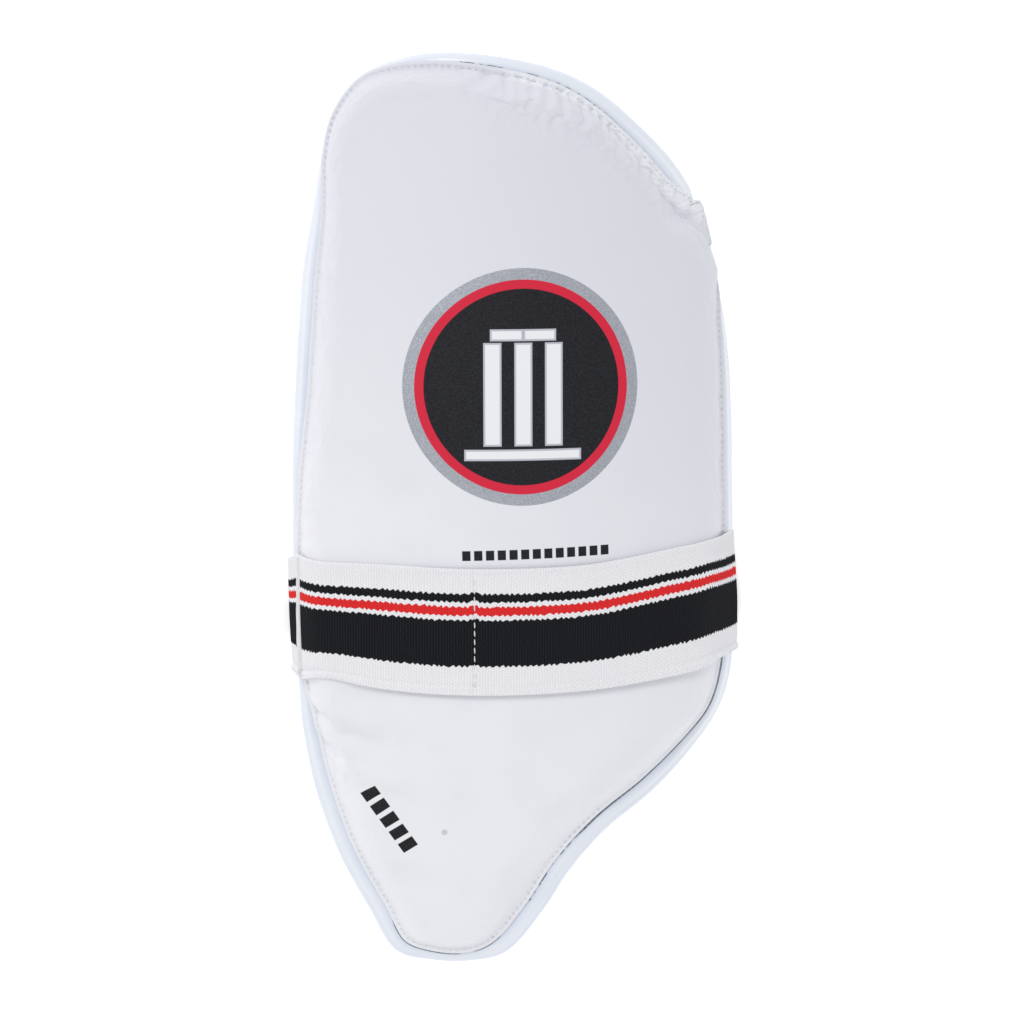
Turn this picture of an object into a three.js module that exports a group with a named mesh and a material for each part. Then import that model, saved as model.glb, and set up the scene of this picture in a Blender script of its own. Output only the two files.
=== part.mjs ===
import * as THREE from 'three';
import { mergeVertices } from 'three/addons/utils/BufferGeometryUtils.js';

// Cricket thigh pad, lying on its hollow back with the front up.
// x runs across, y from the tip to the top end, z up, in millimetres.

// Shell, measured on the surface that passes through the middle of the rim
const rimLength = 389;
const rimWidth = 189;
const archRise = 34;
const backDepth = 5;
const backSlope = 4.5;
const clearance = 0.3;
const foamGap = 0.8;

// Edge binding, a tape folded round the rim
const bindingRadius = 3.6;
const tapeWall = 1.2;
const tapeLeg = 8.5;

// Front panel, foam under a sewn cover
const panelThickness = 16;
const hemThickness = 1.6;
const hemWidth = 3;
const bevelWidth = 20;
const foldDepth = 1.2;
const foldWidth = 7;

// Strap, a closed elastic loop round the pad; its place is its middle, above the middle of the rim
const strapWidth = 53;
const strapThickness = 1.8;
const strapPlace = -44;
const strapTilt = 0.8;
const strapGap = 0.5;
const strapMargin = 4;
const liftRun = 32;

// Fineness of the faceted surfaces
const levels = 50;
const strapRows = 6;
const strapArcHalf = 66;
const strapArcStep = 3;
const strapCornerStep = 12;

// The rim, clockwise from the top, seen from the front.
// across and along are shares of rimWidth and rimLength. inset, a share of bindingRadius, is how far the
// panel's edge lies inside the rim there, and bevel, a share of bevelWidth, how wide the panel's slope is.
const RIM = [
  { across: -0.091, along: 0.499, inset: 0.30, bevel: 0.55 },
  { across: 0.060, along: 0.484, inset: 0.60, bevel: 0.60 },
  { across: 0.153, along: 0.463, inset: 0.98, bevel: 0.70 },
  { across: 0.267, along: 0.420, inset: 1.44, bevel: 0.85 },
  { across: 0.356, along: 0.377, inset: 1.94, bevel: 1.15 },
  { across: 0.412, along: 0.333, inset: 1.80, bevel: 1.35 },
  { across: 0.450, along: 0.266, inset: 0.15, bevel: 1.45 },
  { across: 0.480, along: 0.198, inset: 1.28, bevel: 1.50 },
  { across: 0.495, along: 0.108, inset: 1.80, bevel: 1.50 },
  { across: 0.499, along: -0.020, inset: 1.75, bevel: 1.50 },
  { across: 0.500, along: -0.112, inset: 2.00, bevel: 1.55 },
  { across: 0.498, along: -0.189, inset: 2.30, bevel: 1.65 },
  { across: 0.466, along: -0.236, inset: 2.30, bevel: 1.80 },
  { across: 0.398, along: -0.276, inset: 2.30, bevel: 1.80 },
  { across: 0.303, along: -0.316, inset: 2.25, bevel: 1.60 },
  { across: 0.182, along: -0.356, inset: 2.02, bevel: 1.35 },
  { across: 0.095, along: -0.401, inset: 1.92, bevel: 1.20 },
  { across: 0.032, along: -0.448, inset: 1.76, bevel: 1.05 },
  { across: -0.049, along: -0.494, inset: 1.50, bevel: 0.90 },
  { across: -0.124, along: -0.503, inset: 0.60, bevel: 0.85 },
  { across: -0.212, along: -0.503, inset: 0.74, bevel: 0.80 },
  { across: -0.279, along: -0.496, inset: 1.46, bevel: 0.80 },
  { across: -0.333, along: -0.452, inset: 1.79, bevel: 0.80 },
  { across: -0.404, along: -0.385, inset: 1.94, bevel: 0.85 },
  { across: -0.452, along: -0.316, inset: 1.98, bevel: 0.85 },
  { across: -0.480, along: -0.248, inset: 1.60, bevel: 0.85 },
  { across: -0.493, along: -0.170, inset: 0.27, bevel: 0.85 },
  { across: -0.500, along: -0.060, inset: 0.13, bevel: 0.85 },
  { across: -0.499, along: 0.040, inset: 0.58, bevel: 0.85 },
  { across: -0.490, along: 0.139, inset: 1.39, bevel: 0.85 },
  { across: -0.469, along: 0.272, inset: 1.50, bevel: 0.80 },
  { across: -0.446, along: 0.337, inset: 0.86, bevel: 0.75 },
  { across: -0.423, along: 0.404, inset: -0.37, bevel: 0.70 },
  { across: -0.398, along: 0.447, inset: -0.52, bevel: 0.65 },
  { across: -0.340, along: 0.481, inset: -0.71, bevel: 0.60 },
  { across: -0.239, along: 0.499, inset: -0.17, bevel: 0.55 },
];

// The arch over the thigh, from the tip to the top end.
// along is a share of rimLength, left and right, the feet of the arch, of rimWidth, and rise of archRise.
const ARCH = [
  { along: -0.520, left: -0.357, right: 0.352, rise: 0.59 },
  { along: -0.301, left: -0.463, right: 0.448, rise: 0.85 },
  { along: -0.211, left: -0.490, right: 0.495, rise: 0.94 },
  { along: -0.120, left: -0.499, right: 0.502, rise: 0.99 },
  { along: -0.044, left: -0.502, right: 0.501, rise: 1.00 },
  { along: 0.136, left: -0.492, right: 0.493, rise: 1.00 },
  { along: 0.225, left: -0.480, right: 0.473, rise: 0.98 },
  { along: 0.311, left: -0.462, right: 0.440, rise: 0.95 },
  { along: 0.522, left: -0.441, right: 0.416, rise: 0.85 },
];

// Gathers along the top right edge, then the soft creases under the strap.
// Ends are shares of rimWidth and rimLength, depth of foldDepth and width of foldWidth.
const FOLDS = [
  { fromAcross: 0.060, fromAlong: 0.478, toAcross: 0.030, toAlong: 0.440, depth: 0.6, width: 0.6 },
  { fromAcross: 0.165, fromAlong: 0.452, toAcross: 0.120, toAlong: 0.410, depth: 0.8, width: 0.6 },
  { fromAcross: 0.250, fromAlong: 0.420, toAcross: 0.190, toAlong: 0.385, depth: 0.9, width: 0.6 },
  { fromAcross: 0.330, fromAlong: 0.382, toAcross: 0.260, toAlong: 0.350, depth: 0.9, width: 0.6 },
  { fromAcross: 0.395, fromAlong: 0.340, toAcross: 0.320, toAlong: 0.315, depth: 0.9, width: 0.6 },
  { fromAcross: 0.440, fromAlong: 0.285, toAcross: 0.360, toAlong: 0.275, depth: 0.8, width: 0.6 },
  { fromAcross: -0.480, fromAlong: -0.225, toAcross: -0.230, toAlong: -0.262, depth: 0.8, width: 1.0 },
  { fromAcross: -0.390, fromAlong: -0.300, toAcross: -0.260, toAlong: -0.312, depth: 0.5, width: 1.0 },
  { fromAcross: -0.330, fromAlong: -0.395, toAcross: -0.110, toAlong: -0.395, depth: 0.5, width: 1.1 },
];

// Where the rings of a padded piece lie: shares of its edge slope, then of the way from there to its spine
const SLOPE_RINGS = [0.15, 0.42, 1];
const INNER_RINGS = [0.2, 0.4, 0.6, 0.8, 1];

// The spine is the rim's middle drawn in from both ends; the rings turn in square to the edge over turnIn
const spineShare = 0.84;
const turnIn = 7;
const pathSteps = 24;
const slopePower = 1.8;

const panelUnder = bindingRadius + clearance;
const edgeHalf = bindingRadius - tapeWall - clearance;
const strapLift = strapThickness + strapGap;
const tiltSlope = Math.tan(THREE.MathUtils.degToRad(strapTilt));
const { smoothstep, lerp } = THREE.MathUtils;

// Smooth curves through the tables
const rimPoints = RIM.map((row) => new THREE.Vector3(row.across * rimWidth, row.along * rimLength, 0));
const rimCurve = new THREE.CatmullRomCurve3(rimPoints, true, 'centripetal');
const edgePoints = RIM.map((row) => new THREE.Vector3(row.inset * bindingRadius, row.bevel * bevelWidth, 0));
const edgeCurve = new THREE.CatmullRomCurve3(edgePoints, true, 'catmullrom');
const archPlaces = ARCH.map((row) => row.along);
const archValues = ARCH.flatMap((row) => [row.left, row.right, row.rise]);
const archTable = new THREE.CubicInterpolant(archPlaces, archValues, 3, new Float64Array(3));

// Height of the rim's middle where the arch meets the floor; it rises over the strap that passes under it
function footHeight(x, y) {
  const fromStrap = Math.abs(y - tiltSlope * x - strapPlace) - strapWidth / 2 - strapMargin;
  return bindingRadius + strapLift * (1 - smoothstep(fromStrap, 0, liftRun));
}

// Height of the shell's middle surface
function shellHeight(x, y) {
  const [left, right, rise] = archTable.evaluate(y / rimLength);
  const half = (right - left) / 2 * rimWidth;
  const middle = (right + left) / 2 * rimWidth;
  const crown = rise * archRise;
  const radius = (half * half + crown * crown) / (2 * crown);
  const away = Math.min(Math.abs(x - middle), 0.98 * radius);
  return footHeight(x, y) + crown - radius + Math.sqrt(radius * radius - away * away);
}

function shellNormal(x, y) {
  const step = 0.5;
  const slopeX = (shellHeight(x + step, y) - shellHeight(x - step, y)) / (2 * step);
  const slopeY = (shellHeight(x, y + step) - shellHeight(x, y - step)) / (2 * step);
  return new THREE.Vector3(-slopeX, -slopeY, 1).normalize();
}

// Point at a height over the shell, measured square to it
function overShell(x, y, height) {
  return new THREE.Vector3(x, y, shellHeight(x, y)).addScaledVector(shellNormal(x, y), height);
}

const wrap = (t) => ((t % 1) + 1) % 1;
const rimLevel = (t) => rimCurve.getPoint(wrap(t)).y;

// Rim parameter at a level between two others where the level runs one way
function paramAtLevel(level, high, low) {
  for (let i = 0; i < 40; i++) {
    const middle = (high + low) / 2;
    if (rimLevel(middle) > level) high = middle;
    else low = middle;
  }
  return (high + low) / 2;
}

// Highest and lowest point of the rim, as parameters
function rimPoles() {
  const scan = Array.from({ length: 2000 }, (_, i) => i / 2000);
  const top = scan.reduce((best, t) => (rimLevel(t) > rimLevel(best) ? t : best));
  const tip = scan.reduce((best, t) => (rimLevel(t) < rimLevel(best) ? t : best));
  return [top > tip ? top - 1 : top, tip];
}

// Stations round the rim, clockwise from the top. Right and left ones come in pairs that share a spine point.
function makeStations() {
  const [top, tip] = rimPoles();
  const middle = (rimLevel(top) + rimLevel(tip)) / 2;
  const half = (rimLevel(top) - rimLevel(tip)) / 2;
  const level = (i) => middle + half * Math.cos(Math.PI * i / levels);
  const right = [];
  const left = [];
  for (let i = 1; i < levels; i++) {
    right.push(paramAtLevel(level(i), top, tip));
    left.push(paramAtLevel(level(i), top + 1, tip));
  }
  const params = [top, ...right, tip, ...left.reverse()];
  const points = params.map((t) => rimCurve.getPoint(wrap(t)));
  return params.map((t, i) => {
    const point = points[i];
    const pair = points[(2 * levels - i) % (2 * levels)];
    const normal = shellNormal(point.x, point.y);
    const along = rimCurve.getTangent(wrap(t));
    const climb = -(along.x * normal.x + along.y * normal.y) / normal.z;
    const tangent = new THREE.Vector3(along.x, along.y, climb);
    const outward = new THREE.Vector3().crossVectors(normal, tangent).normalize();
    const edge = edgeCurve.getPoint(wrap(t));
    const spine = new THREE.Vector2((point.x + pair.x) / 2, lerp(middle, (point.y + pair.y) / 2, spineShare));
    return { point, normal, outward, spine, inset: edge.x, bevel: edge.y };
  });
}

// Path on the shell from a station's edge to the spine, which leaves the edge square to it
function inwardPath(station, inset) {
  const { point, outward, spine } = station;
  const edge = new THREE.Vector2(point.x - outward.x * inset, point.y - outward.y * inset);
  const turn = new THREE.Vector2(edge.x - outward.x * turnIn, edge.y - outward.y * turnIn);
  const plan = new THREE.QuadraticBezierCurve(edge, turn, spine).getPoints(pathSteps);
  const lengths = [0];
  for (let i = 1; i < plan.length; i++) {
    const drop = shellHeight(plan[i].x, plan[i].y) - shellHeight(plan[i - 1].x, plan[i - 1].y);
    lengths.push(lengths[i - 1] + Math.hypot(plan[i].distanceTo(plan[i - 1]), drop));
  }
  const reach = lengths[pathSteps];
  const at = (distance) => {
    if (distance >= reach) return spine;
    const next = lengths.findIndex((length) => length > distance);
    const share = (distance - lengths[next - 1]) / (lengths[next] - lengths[next - 1]);
    return plan[next - 1].clone().lerp(plan[next], share);
  };
  return { reach, at };
}

// Mesh from closed loops of points, each joined to the next; every square is cut along its shorter diagonal
function skin(loops, closed) {
  const count = loops[0].length;
  const points = loops.flat();
  const vertices = points.flatMap((point) => point.toArray());
  const faces = [];
  for (let j = 0; j < (closed ? loops.length : loops.length - 1); j++) {
    const from = j * count;
    const to = ((j + 1) % loops.length) * count;
    for (let i = 0; i < count; i++) {
      const next = (i + 1) % count;
      const [a, b, c, d] = [from + i, from + next, to + next, to + i];
      if (points[a].distanceTo(points[c]) <= points[b].distanceTo(points[d])) faces.push(a, b, c, a, c, d);
      else faces.push(a, b, d, b, c, d);
    }
  }
  const geometry = new THREE.BufferGeometry();
  geometry.setAttribute('position', new THREE.Float32BufferAttribute(vertices, 3));
  geometry.setIndex(faces);
  return withoutSlivers(mergeVertices(geometry, 1e-3));
}

// Faces that lost a corner where points met are dropped
function withoutSlivers(geometry) {
  const kept = [];
  const index = geometry.getIndex().array;
  for (let i = 0; i < index.length; i += 3) {
    const [a, b, c] = index.slice(i, i + 3);
    if (a !== b && b !== c && c !== a) kept.push(a, b, c);
  }
  geometry.setIndex(kept);
  geometry.computeVertexNormals();
  return geometry;
}

// A padded disc on the shell: rings from the edge to the spine, with an upper and a lower height at each
function paddedDisc(stations, insetOf, distancesOf, upperOf, lowerOf) {
  const rays = stations.map((station) => {
    const path = inwardPath(station, insetOf(station));
    return distancesOf(station, path.reach).map((distance) => {
      const { x, y } = path.at(distance);
      return {
        upper: overShell(x, y, upperOf(station, distance, x, y)),
        lower: overShell(x, y, lowerOf(station, distance)),
      };
    });
  });
  const ringCount = rays[0].length;
  const upper = Array.from({ length: ringCount }, (_, j) => rays.map((ray) => ray[ringCount - 1 - j].upper));
  const lower = Array.from({ length: ringCount }, (_, j) => rays.map((ray) => ray[j].lower));
  return skin([...upper, ...lower], false);
}

// Depth of the folds at a point of the panel
function foldAt(x, y) {
  let depth = 0;
  for (const fold of FOLDS) {
    const from = new THREE.Vector3(fold.fromAcross * rimWidth, fold.fromAlong * rimLength, 0);
    const to = new THREE.Vector3(fold.toAcross * rimWidth, fold.toAlong * rimLength, 0);
    const here = new THREE.Vector3(x, y, 0);
    const nearest = new THREE.Line3(from, to).closestPointToPoint(here, true, new THREE.Vector3());
    depth += foldDepth * fold.depth * Math.exp(-((here.distanceTo(nearest) / (foldWidth * fold.width)) ** 2));
  }
  return depth;
}

// Front panel: a thin sewn hem, a rounded slope and full foam inside it
function frontPanel(stations) {
  const distances = (station, reach) => {
    const inner = hemWidth + station.bevel;
    return [
      0, hemWidth,
      ...SLOPE_RINGS.map((share) => hemWidth + share * station.bevel),
      ...INNER_RINGS.map((share) => lerp(inner, reach, share)),
    ];
  };
  const top = (station, distance, x, y) => {
    const slope = THREE.MathUtils.clamp((distance - hemWidth) / station.bevel, 0, 1);
    const swell = 1 - (1 - slope) ** slopePower;
    return panelUnder + lerp(hemThickness, panelThickness, swell) - foldAt(x, y);
  };
  return paddedDisc(stations, (station) => station.inset, distances, top, () => panelUnder);
}

// Base pad: a thin edge inside the binding, full depth from the binding's legs inward
function basePad(stations) {
  const legEnd = tapeLeg + clearance;
  const full = legEnd + backSlope;
  const distances = (station, reach) => [
    0, legEnd, lerp(legEnd, full, 0.5), full, ...INNER_RINGS.map((share) => lerp(full, reach, share)),
  ];
  const swell = (distance) => smoothstep(distance, legEnd, full);
  const upper = (station, distance) => lerp(edgeHalf, panelUnder - foamGap, swell(distance));
  const lower = (station, distance) => -lerp(edgeHalf, backDepth, swell(distance));
  return paddedDisc(stations, () => 0, distances, upper, lower);
}

// Section of the folded tape, square to the rim: outward first, then square to the shell
function tapeSection() {
  const arc = (radius, steps, from) => Array.from({ length: steps + 1 }, (_, i) => {
    const angle = from - Math.sign(from) * Math.PI * i / steps;
    return [radius * Math.cos(angle), radius * Math.sin(angle)];
  });
  const inside = bindingRadius - tapeWall;
  return [
    [-tapeLeg, bindingRadius], ...arc(bindingRadius, 5, Math.PI / 2), [-tapeLeg, -bindingRadius],
    [-tapeLeg, -inside], ...arc(inside, 3, -Math.PI / 2), [-tapeLeg, inside],
  ];
}

// The tape's bead is round about the rim, and its legs follow the shell inward
function edgeBinding(stations) {
  const loops = tapeSection().map(([out, over]) => stations.map((station) => {
    const { point, normal, outward } = station;
    if (out < 0) {
      const end = inwardPath(station, 0).at(-out);
      return overShell(end.x, end.y, over);
    }
    return overShell(point.x, point.y, 0).addScaledVector(outward, out).addScaledVector(normal, over);
  }));
  return skin(loops, true);
}

// Point of a set that lies farthest in a direction
function farthest(points, direction) {
  return points.reduce((best, point) => (point.dot(direction) > best.dot(direction) ? point : best));
}

// Directions in which the strap's loop is drawn, in degrees: fine over the arch, coarser round the sides
function strapDirections() {
  const angles = [];
  for (let a = 90 + strapArcHalf; a > 90 - strapArcHalf; a -= strapArcStep) angles.push(a);
  for (let a = 90 - strapArcHalf; a > -90; a -= strapCornerStep) angles.push(a);
  for (let a = -90 - strapCornerStep; a > -270 + strapArcHalf; a -= strapCornerStep) angles.push(a);
  return angles;
}

// Strap: at each row across its width, the tightest loop round panel and binding, flat underneath
function strap(covered, stationStep) {
  const vertices = covered.flatMap((geometry) => {
    const position = geometry.getAttribute('position');
    const vertex = (_, i) => new THREE.Vector3().fromBufferAttribute(position, i);
    return Array.from({ length: position.count }, vertex);
  });
  const row = (share, offset, floor) => {
    const place = strapPlace + (share - 0.5) * strapWidth;
    const section = vertices
      .filter((vertex) => Math.abs(vertex.y - tiltSlope * vertex.x - place) < stationStep)
      .map((vertex) => new THREE.Vector2(vertex.x, vertex.z));
    const lifted = (x, z) => new THREE.Vector3(x, place + tiltSlope * x, z);
    const loop = [];
    const angles = strapDirections();
    for (const angle of angles) {
      const direction = new THREE.Vector2(Math.cos(angle * Math.PI / 180), Math.sin(angle * Math.PI / 180));
      const corner = farthest(section, direction);
      loop.push(lifted(corner.x + offset * direction.x, Math.max(floor, corner.y + offset * direction.y)));
    }
    const low = section.reduce((least, point) => Math.min(least, point.y), Infinity) + bindingRadius;
    const feet = section.filter((point) => point.y < low);
    const right = feet.reduce((most, point) => Math.max(most, point.x), -Infinity) - bindingRadius;
    const left = feet.reduce((least, point) => Math.min(least, point.x), Infinity) + bindingRadius;
    const turn = angles.findIndex((angle) => angle < -90);
    loop.splice(turn, 0, lifted(right, floor), lifted(left, floor));
    return loop;
  };
  const shares = Array.from({ length: strapRows }, (_, i) => i / (strapRows - 1));
  const outer = shares.map((share) => row(share, strapGap + strapThickness, 0));
  const inner = shares.map((share) => row(share, strapGap, strapThickness)).reverse();
  return skin([...outer, ...inner], true);
}

function piece(name, geometry, color, roughness) {
  const mesh = new THREE.Mesh(geometry, new THREE.MeshStandardMaterial({ color, roughness, metalness: 0 }));
  mesh.name = name;
  return mesh;
}

const stations = makeStations();
const panel = frontPanel(stations);
const binding = edgeBinding(stations);
const stationStep = Math.PI * rimLength / (2 * levels);

const thighPad = new THREE.Group();
thighPad.add(
  piece('base_pad', basePad(stations), 0xd9dde3, 0.85),
  piece('edge_binding', binding, 0xe1e9f2, 0.45),
  piece('front_panel', panel, 0xe3e5ea, 0.5),
  piece('strap', strap([panel, binding], stationStep), 0xe8e9ee, 0.9),
);

// The origin is under the middle of the whole, on the surface that it lies on
const box = new THREE.Box3().setFromObject(thighPad);
const centre = box.getCenter(new THREE.Vector3());
thighPad.position.set(-centre.x, -centre.y, -box.min.z);

export default thighPad;
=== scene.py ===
"""Dresses a cricket thigh pad that lies on its hollow back, front up.

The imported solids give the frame. Every visible piece is built here as a fine mesh in the same place: the
padded front panel, the lined base pad, the folded edge tape, the woven elastic strap and the sewing thread.
Lengths are in millimetres in the rim's own frame, and a mesh is turned into the frame's metres when made.
"""

import logging
import math
from collections.abc import Callable, Mapping
from dataclasses import dataclass, field
from enum import Enum
from typing import NamedTuple

import bmesh
import bpy
import numpy as np
from mathutils import Matrix, Vector, noise


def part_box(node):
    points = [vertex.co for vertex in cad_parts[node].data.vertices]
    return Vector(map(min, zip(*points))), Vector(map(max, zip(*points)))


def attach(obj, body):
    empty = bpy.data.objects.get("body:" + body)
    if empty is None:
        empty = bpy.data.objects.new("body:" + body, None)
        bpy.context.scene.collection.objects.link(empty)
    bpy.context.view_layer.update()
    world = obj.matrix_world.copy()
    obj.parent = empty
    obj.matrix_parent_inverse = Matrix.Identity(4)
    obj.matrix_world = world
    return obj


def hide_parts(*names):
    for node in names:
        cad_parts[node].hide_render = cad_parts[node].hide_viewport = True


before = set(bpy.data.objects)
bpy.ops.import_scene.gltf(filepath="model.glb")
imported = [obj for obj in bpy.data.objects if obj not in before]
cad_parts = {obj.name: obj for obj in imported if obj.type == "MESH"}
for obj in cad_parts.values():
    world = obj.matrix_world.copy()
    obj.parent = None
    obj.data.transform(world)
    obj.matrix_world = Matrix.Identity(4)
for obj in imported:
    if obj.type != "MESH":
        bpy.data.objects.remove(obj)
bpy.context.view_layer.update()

LOG = logging.getLogger("thigh_pad")
MM = 0.001
BODY = "root"

# Start, end and fade of a band
Span = tuple[float, float, float]


class Slot(Enum):
    """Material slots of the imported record."""

    LINING = "back_lining"
    TAPE = "binding_tape"
    COVER = "coated_cover"
    ELASTIC = "woven_elastic"


class RimRow(NamedTuple):
    """A row of the rim: across and along are shares of its width and length, inset of the bead's radius."""

    across: float
    along: float
    inset: float
    bevel: float


class ArchRow(NamedTuple):
    """A row of the arch: the feet are shares of the rim's width, and rise of the arch's height."""

    along: float
    left: float
    right: float
    rise: float


class Crease(NamedTuple):
    """A soft crease from one point to another, in millimetres in the rim's frame."""

    from_x: float
    from_y: float
    to_x: float
    to_y: float
    depth: float
    width: float


class Gather(NamedTuple):
    """A gather that runs in from the seam: its place round the rim, its length, depth, width and slant."""

    place: float
    length: float
    depth: float
    width: float
    slant: float


# The rim, clockwise from the top, seen from the front
RIM = tuple(RimRow(*row) for row in (
    (-0.091, 0.499, 0.30, 0.55), (0.060, 0.484, 0.60, 0.60), (0.153, 0.463, 0.98, 0.70),
    (0.267, 0.420, 1.44, 0.85), (0.356, 0.377, 1.94, 1.15), (0.412, 0.333, 1.80, 1.35),
    (0.450, 0.266, 0.15, 1.45), (0.480, 0.198, 1.28, 1.50), (0.495, 0.108, 1.80, 1.50),
    (0.499, -0.020, 1.75, 1.50), (0.500, -0.112, 2.00, 1.55), (0.498, -0.189, 2.30, 1.65),
    (0.466, -0.236, 2.30, 1.80), (0.398, -0.276, 2.30, 1.80), (0.303, -0.316, 2.25, 1.60),
    (0.182, -0.356, 2.02, 1.35), (0.095, -0.401, 1.92, 1.20), (0.032, -0.448, 1.76, 1.05),
    (-0.049, -0.494, 1.50, 0.90), (-0.124, -0.503, 0.60, 0.85), (-0.212, -0.503, 0.74, 0.80),
    (-0.279, -0.496, 1.46, 0.80), (-0.333, -0.452, 1.79, 0.80), (-0.404, -0.385, 1.94, 0.85),
    (-0.452, -0.316, 1.98, 0.85), (-0.480, -0.248, 1.60, 0.85), (-0.493, -0.170, 0.27, 0.85),
    (-0.500, -0.060, 0.13, 0.85), (-0.499, 0.040, 0.58, 0.85), (-0.490, 0.139, 1.39, 0.85),
    (-0.469, 0.272, 1.50, 0.80), (-0.446, 0.337, 0.86, 0.75), (-0.423, 0.404, -0.37, 0.70),
    (-0.398, 0.447, -0.52, 0.65), (-0.340, 0.481, -0.71, 0.60), (-0.239, 0.499, -0.17, 0.55),
))

# The arch over the thigh, from the tip to the top end
ARCH = tuple(ArchRow(*row) for row in (
    (-0.520, -0.357, 0.352, 0.59), (-0.301, -0.463, 0.448, 0.85), (-0.211, -0.490, 0.495, 0.94),
    (-0.120, -0.499, 0.502, 0.99), (-0.044, -0.502, 0.501, 1.00), (0.136, -0.492, 0.493, 1.00),
    (0.225, -0.480, 0.473, 0.98), (0.311, -0.462, 0.440, 0.95), (0.522, -0.441, 0.416, 0.85),
))

# Soft creases under the strap, on the left, and slack in the cover near the top
CREASES = tuple(Crease(*row) for row in (
    (-88.0, -83.0, -54.0, -93.0, 3.00, 4.4),
    (-88.0, -96.0, -64.0, -104.0, 1.00, 5.0),
    (-74.0, -113.0, -40.0, -121.0, 2.00, 6.0),
    (-60.0, -155.0, -22.0, -156.0, 1.30, 7.0),
    (-40.0, 168.0, -20.0, 128.0, 0.35, 10.0),
    (12.0, 164.0, 34.0, 130.0, 0.40, 9.0),
    (72.0, -92.0, 84.0, -78.0, 0.35, 4.0),
))

# Gathers of the cover along the top edge, placed by their distance round the rim from its highest point
GATHERS = tuple(Gather(*row) for row in (
    (6.0, 7.0, 0.35, 1.3, 0.1), (16.0, 6.0, 0.30, 1.2, -0.1), (24.0, 8.0, 0.55, 1.5, 0.2),
    (31.0, 10.0, 0.70, 1.5, 0.1), (37.5, 9.0, 0.75, 1.3, -0.2), (43.0, 12.0, 0.85, 1.7, 0.3),
    (49.0, 16.0, 1.15, 2.0, 0.5), (54.5, 8.0, 0.75, 1.2, 0.2), (60.0, 13.0, 0.80, 1.7, 0.6),
    (66.0, 8.0, 0.75, 1.3, 0.3), (71.0, 10.0, 0.65, 1.4, 0.5), (77.0, 8.0, 0.70, 1.3, 0.3),
    (83.0, 10.0, 0.60, 1.5, 0.4), (90.0, 9.0, 0.60, 1.5, 0.5), (98.0, 10.0, 0.55, 1.6, 0.5),
    (106.0, 12.0, 0.55, 1.7, 0.6), (115.0, 14.0, 0.60, 1.8, 0.6), (124.0, 15.0, 0.60, 2.0, 0.7),
    (133.0, 16.0, 0.65, 2.2, 0.8), (142.0, 18.0, 0.60, 2.4, 0.9),
))


def smooth(values: np.ndarray, low: float, high: float) -> np.ndarray:
    """Eases from 0 at low to 1 at high.

    Args:
        values: Numbers to ease.
        low: Value where the result leaves 0.
        high: Value where the result reaches 1.

    Returns:
        An array of the same shape, from 0 to 1.
    """
    share = np.clip((values - low) / (high - low), 0.0, 1.0)
    return share * share * (3.0 - 2.0 * share)


def band(values: np.ndarray, start: float, end: float, fade: float) -> np.ndarray:
    """Gives 1 between start and end and fades to 0 outside them.

    Args:
        values: Numbers to test.
        start: Lower end of the band.
        end: Upper end of the band.
        fade: Width over which the band fades, outside each end.

    Returns:
        An array of the same shape, from 0 to 1.
    """
    return smooth(values, start - fade, start) * (1.0 - smooth(values, end, end + fade))


def bump_of(values: np.ndarray, width: float) -> np.ndarray:
    """Gives a bell curve that is 1 at 0 and falls off over the width."""
    return np.exp(-np.square(values / width))


def grain(points: np.ndarray, size: float, seed: float) -> np.ndarray:
    """Reads smooth noise at each point.

    Args:
        points: Points, with three numbers along the last axis.
        size: Rough length of one swell of the noise.
        seed: Offset that picks one noise field among many.

    Returns:
        One number for each point, from about -1 to 1.
    """
    flat = points.reshape(-1, 3) / size + seed
    values = np.fromiter((noise.noise(Vector(point)) for point in flat), float, len(flat))
    return values.reshape(points.shape[:-1])


def hermite(
    start: np.ndarray, end: np.ndarray, leave: np.ndarray, arrive: np.ndarray, share: np.ndarray,
) -> np.ndarray:
    """Evaluates a cubic between two values with given slopes.

    Args:
        start: Values at share 0.
        end: Values at share 1.
        leave: Slopes at share 0.
        arrive: Slopes at share 1.
        share: Places between the two.

    Returns:
        The values at those places.
    """
    square, cube = share ** 2, share ** 3
    return (
        (2 * cube - 3 * square + 1) * start + (3 * square - 2 * cube) * end
        + (cube - 2 * square + share) * leave + (cube - square) * arrive
    )


def closed_curve(knots: np.ndarray, params: np.ndarray, centripetal: bool) -> np.ndarray:
    """Evaluates a closed Catmull-Rom curve.

    Args:
        knots: Points that the curve passes through.
        params: Places on it, where a full turn is 1.
        centripetal: Whether the knots are spaced by the root of their distances.

    Returns:
        One point for each place.
    """
    place = (params % 1.0) * len(knots)
    index = np.floor(place).astype(int)
    share = (place - index)[:, None]
    p0, p1, p2, p3 = (knots[(index + k) % len(knots)] for k in (-1, 0, 1, 2))
    if not centripetal:
        return hermite(p1, p2, (p2 - p0) / 2, (p3 - p1) / 2, share)
    d0, d1, d2 = (np.sqrt(np.linalg.norm(b - a, axis=1))[:, None] for a, b in ((p0, p1), (p1, p2), (p2, p3)))
    leave = ((p1 - p0) / d0 - (p2 - p0) / (d0 + d1) + (p2 - p1) / d1) * d1
    arrive = ((p2 - p1) / d1 - (p3 - p1) / (d1 + d2) + (p3 - p2) / d2) * d1
    return hermite(p1, p2, leave, arrive, share)


def unit(vectors: np.ndarray) -> np.ndarray:
    """Scales vectors along the last axis to length 1."""
    return vectors / np.linalg.norm(vectors, axis=-1, keepdims=True)


def travelled(points: np.ndarray) -> np.ndarray:
    """Gives the distance along a line of points up to each of them."""
    steps = np.linalg.norm(np.diff(points, axis=0), axis=1)
    return np.concatenate([[0.0], np.cumsum(steps)])


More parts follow.
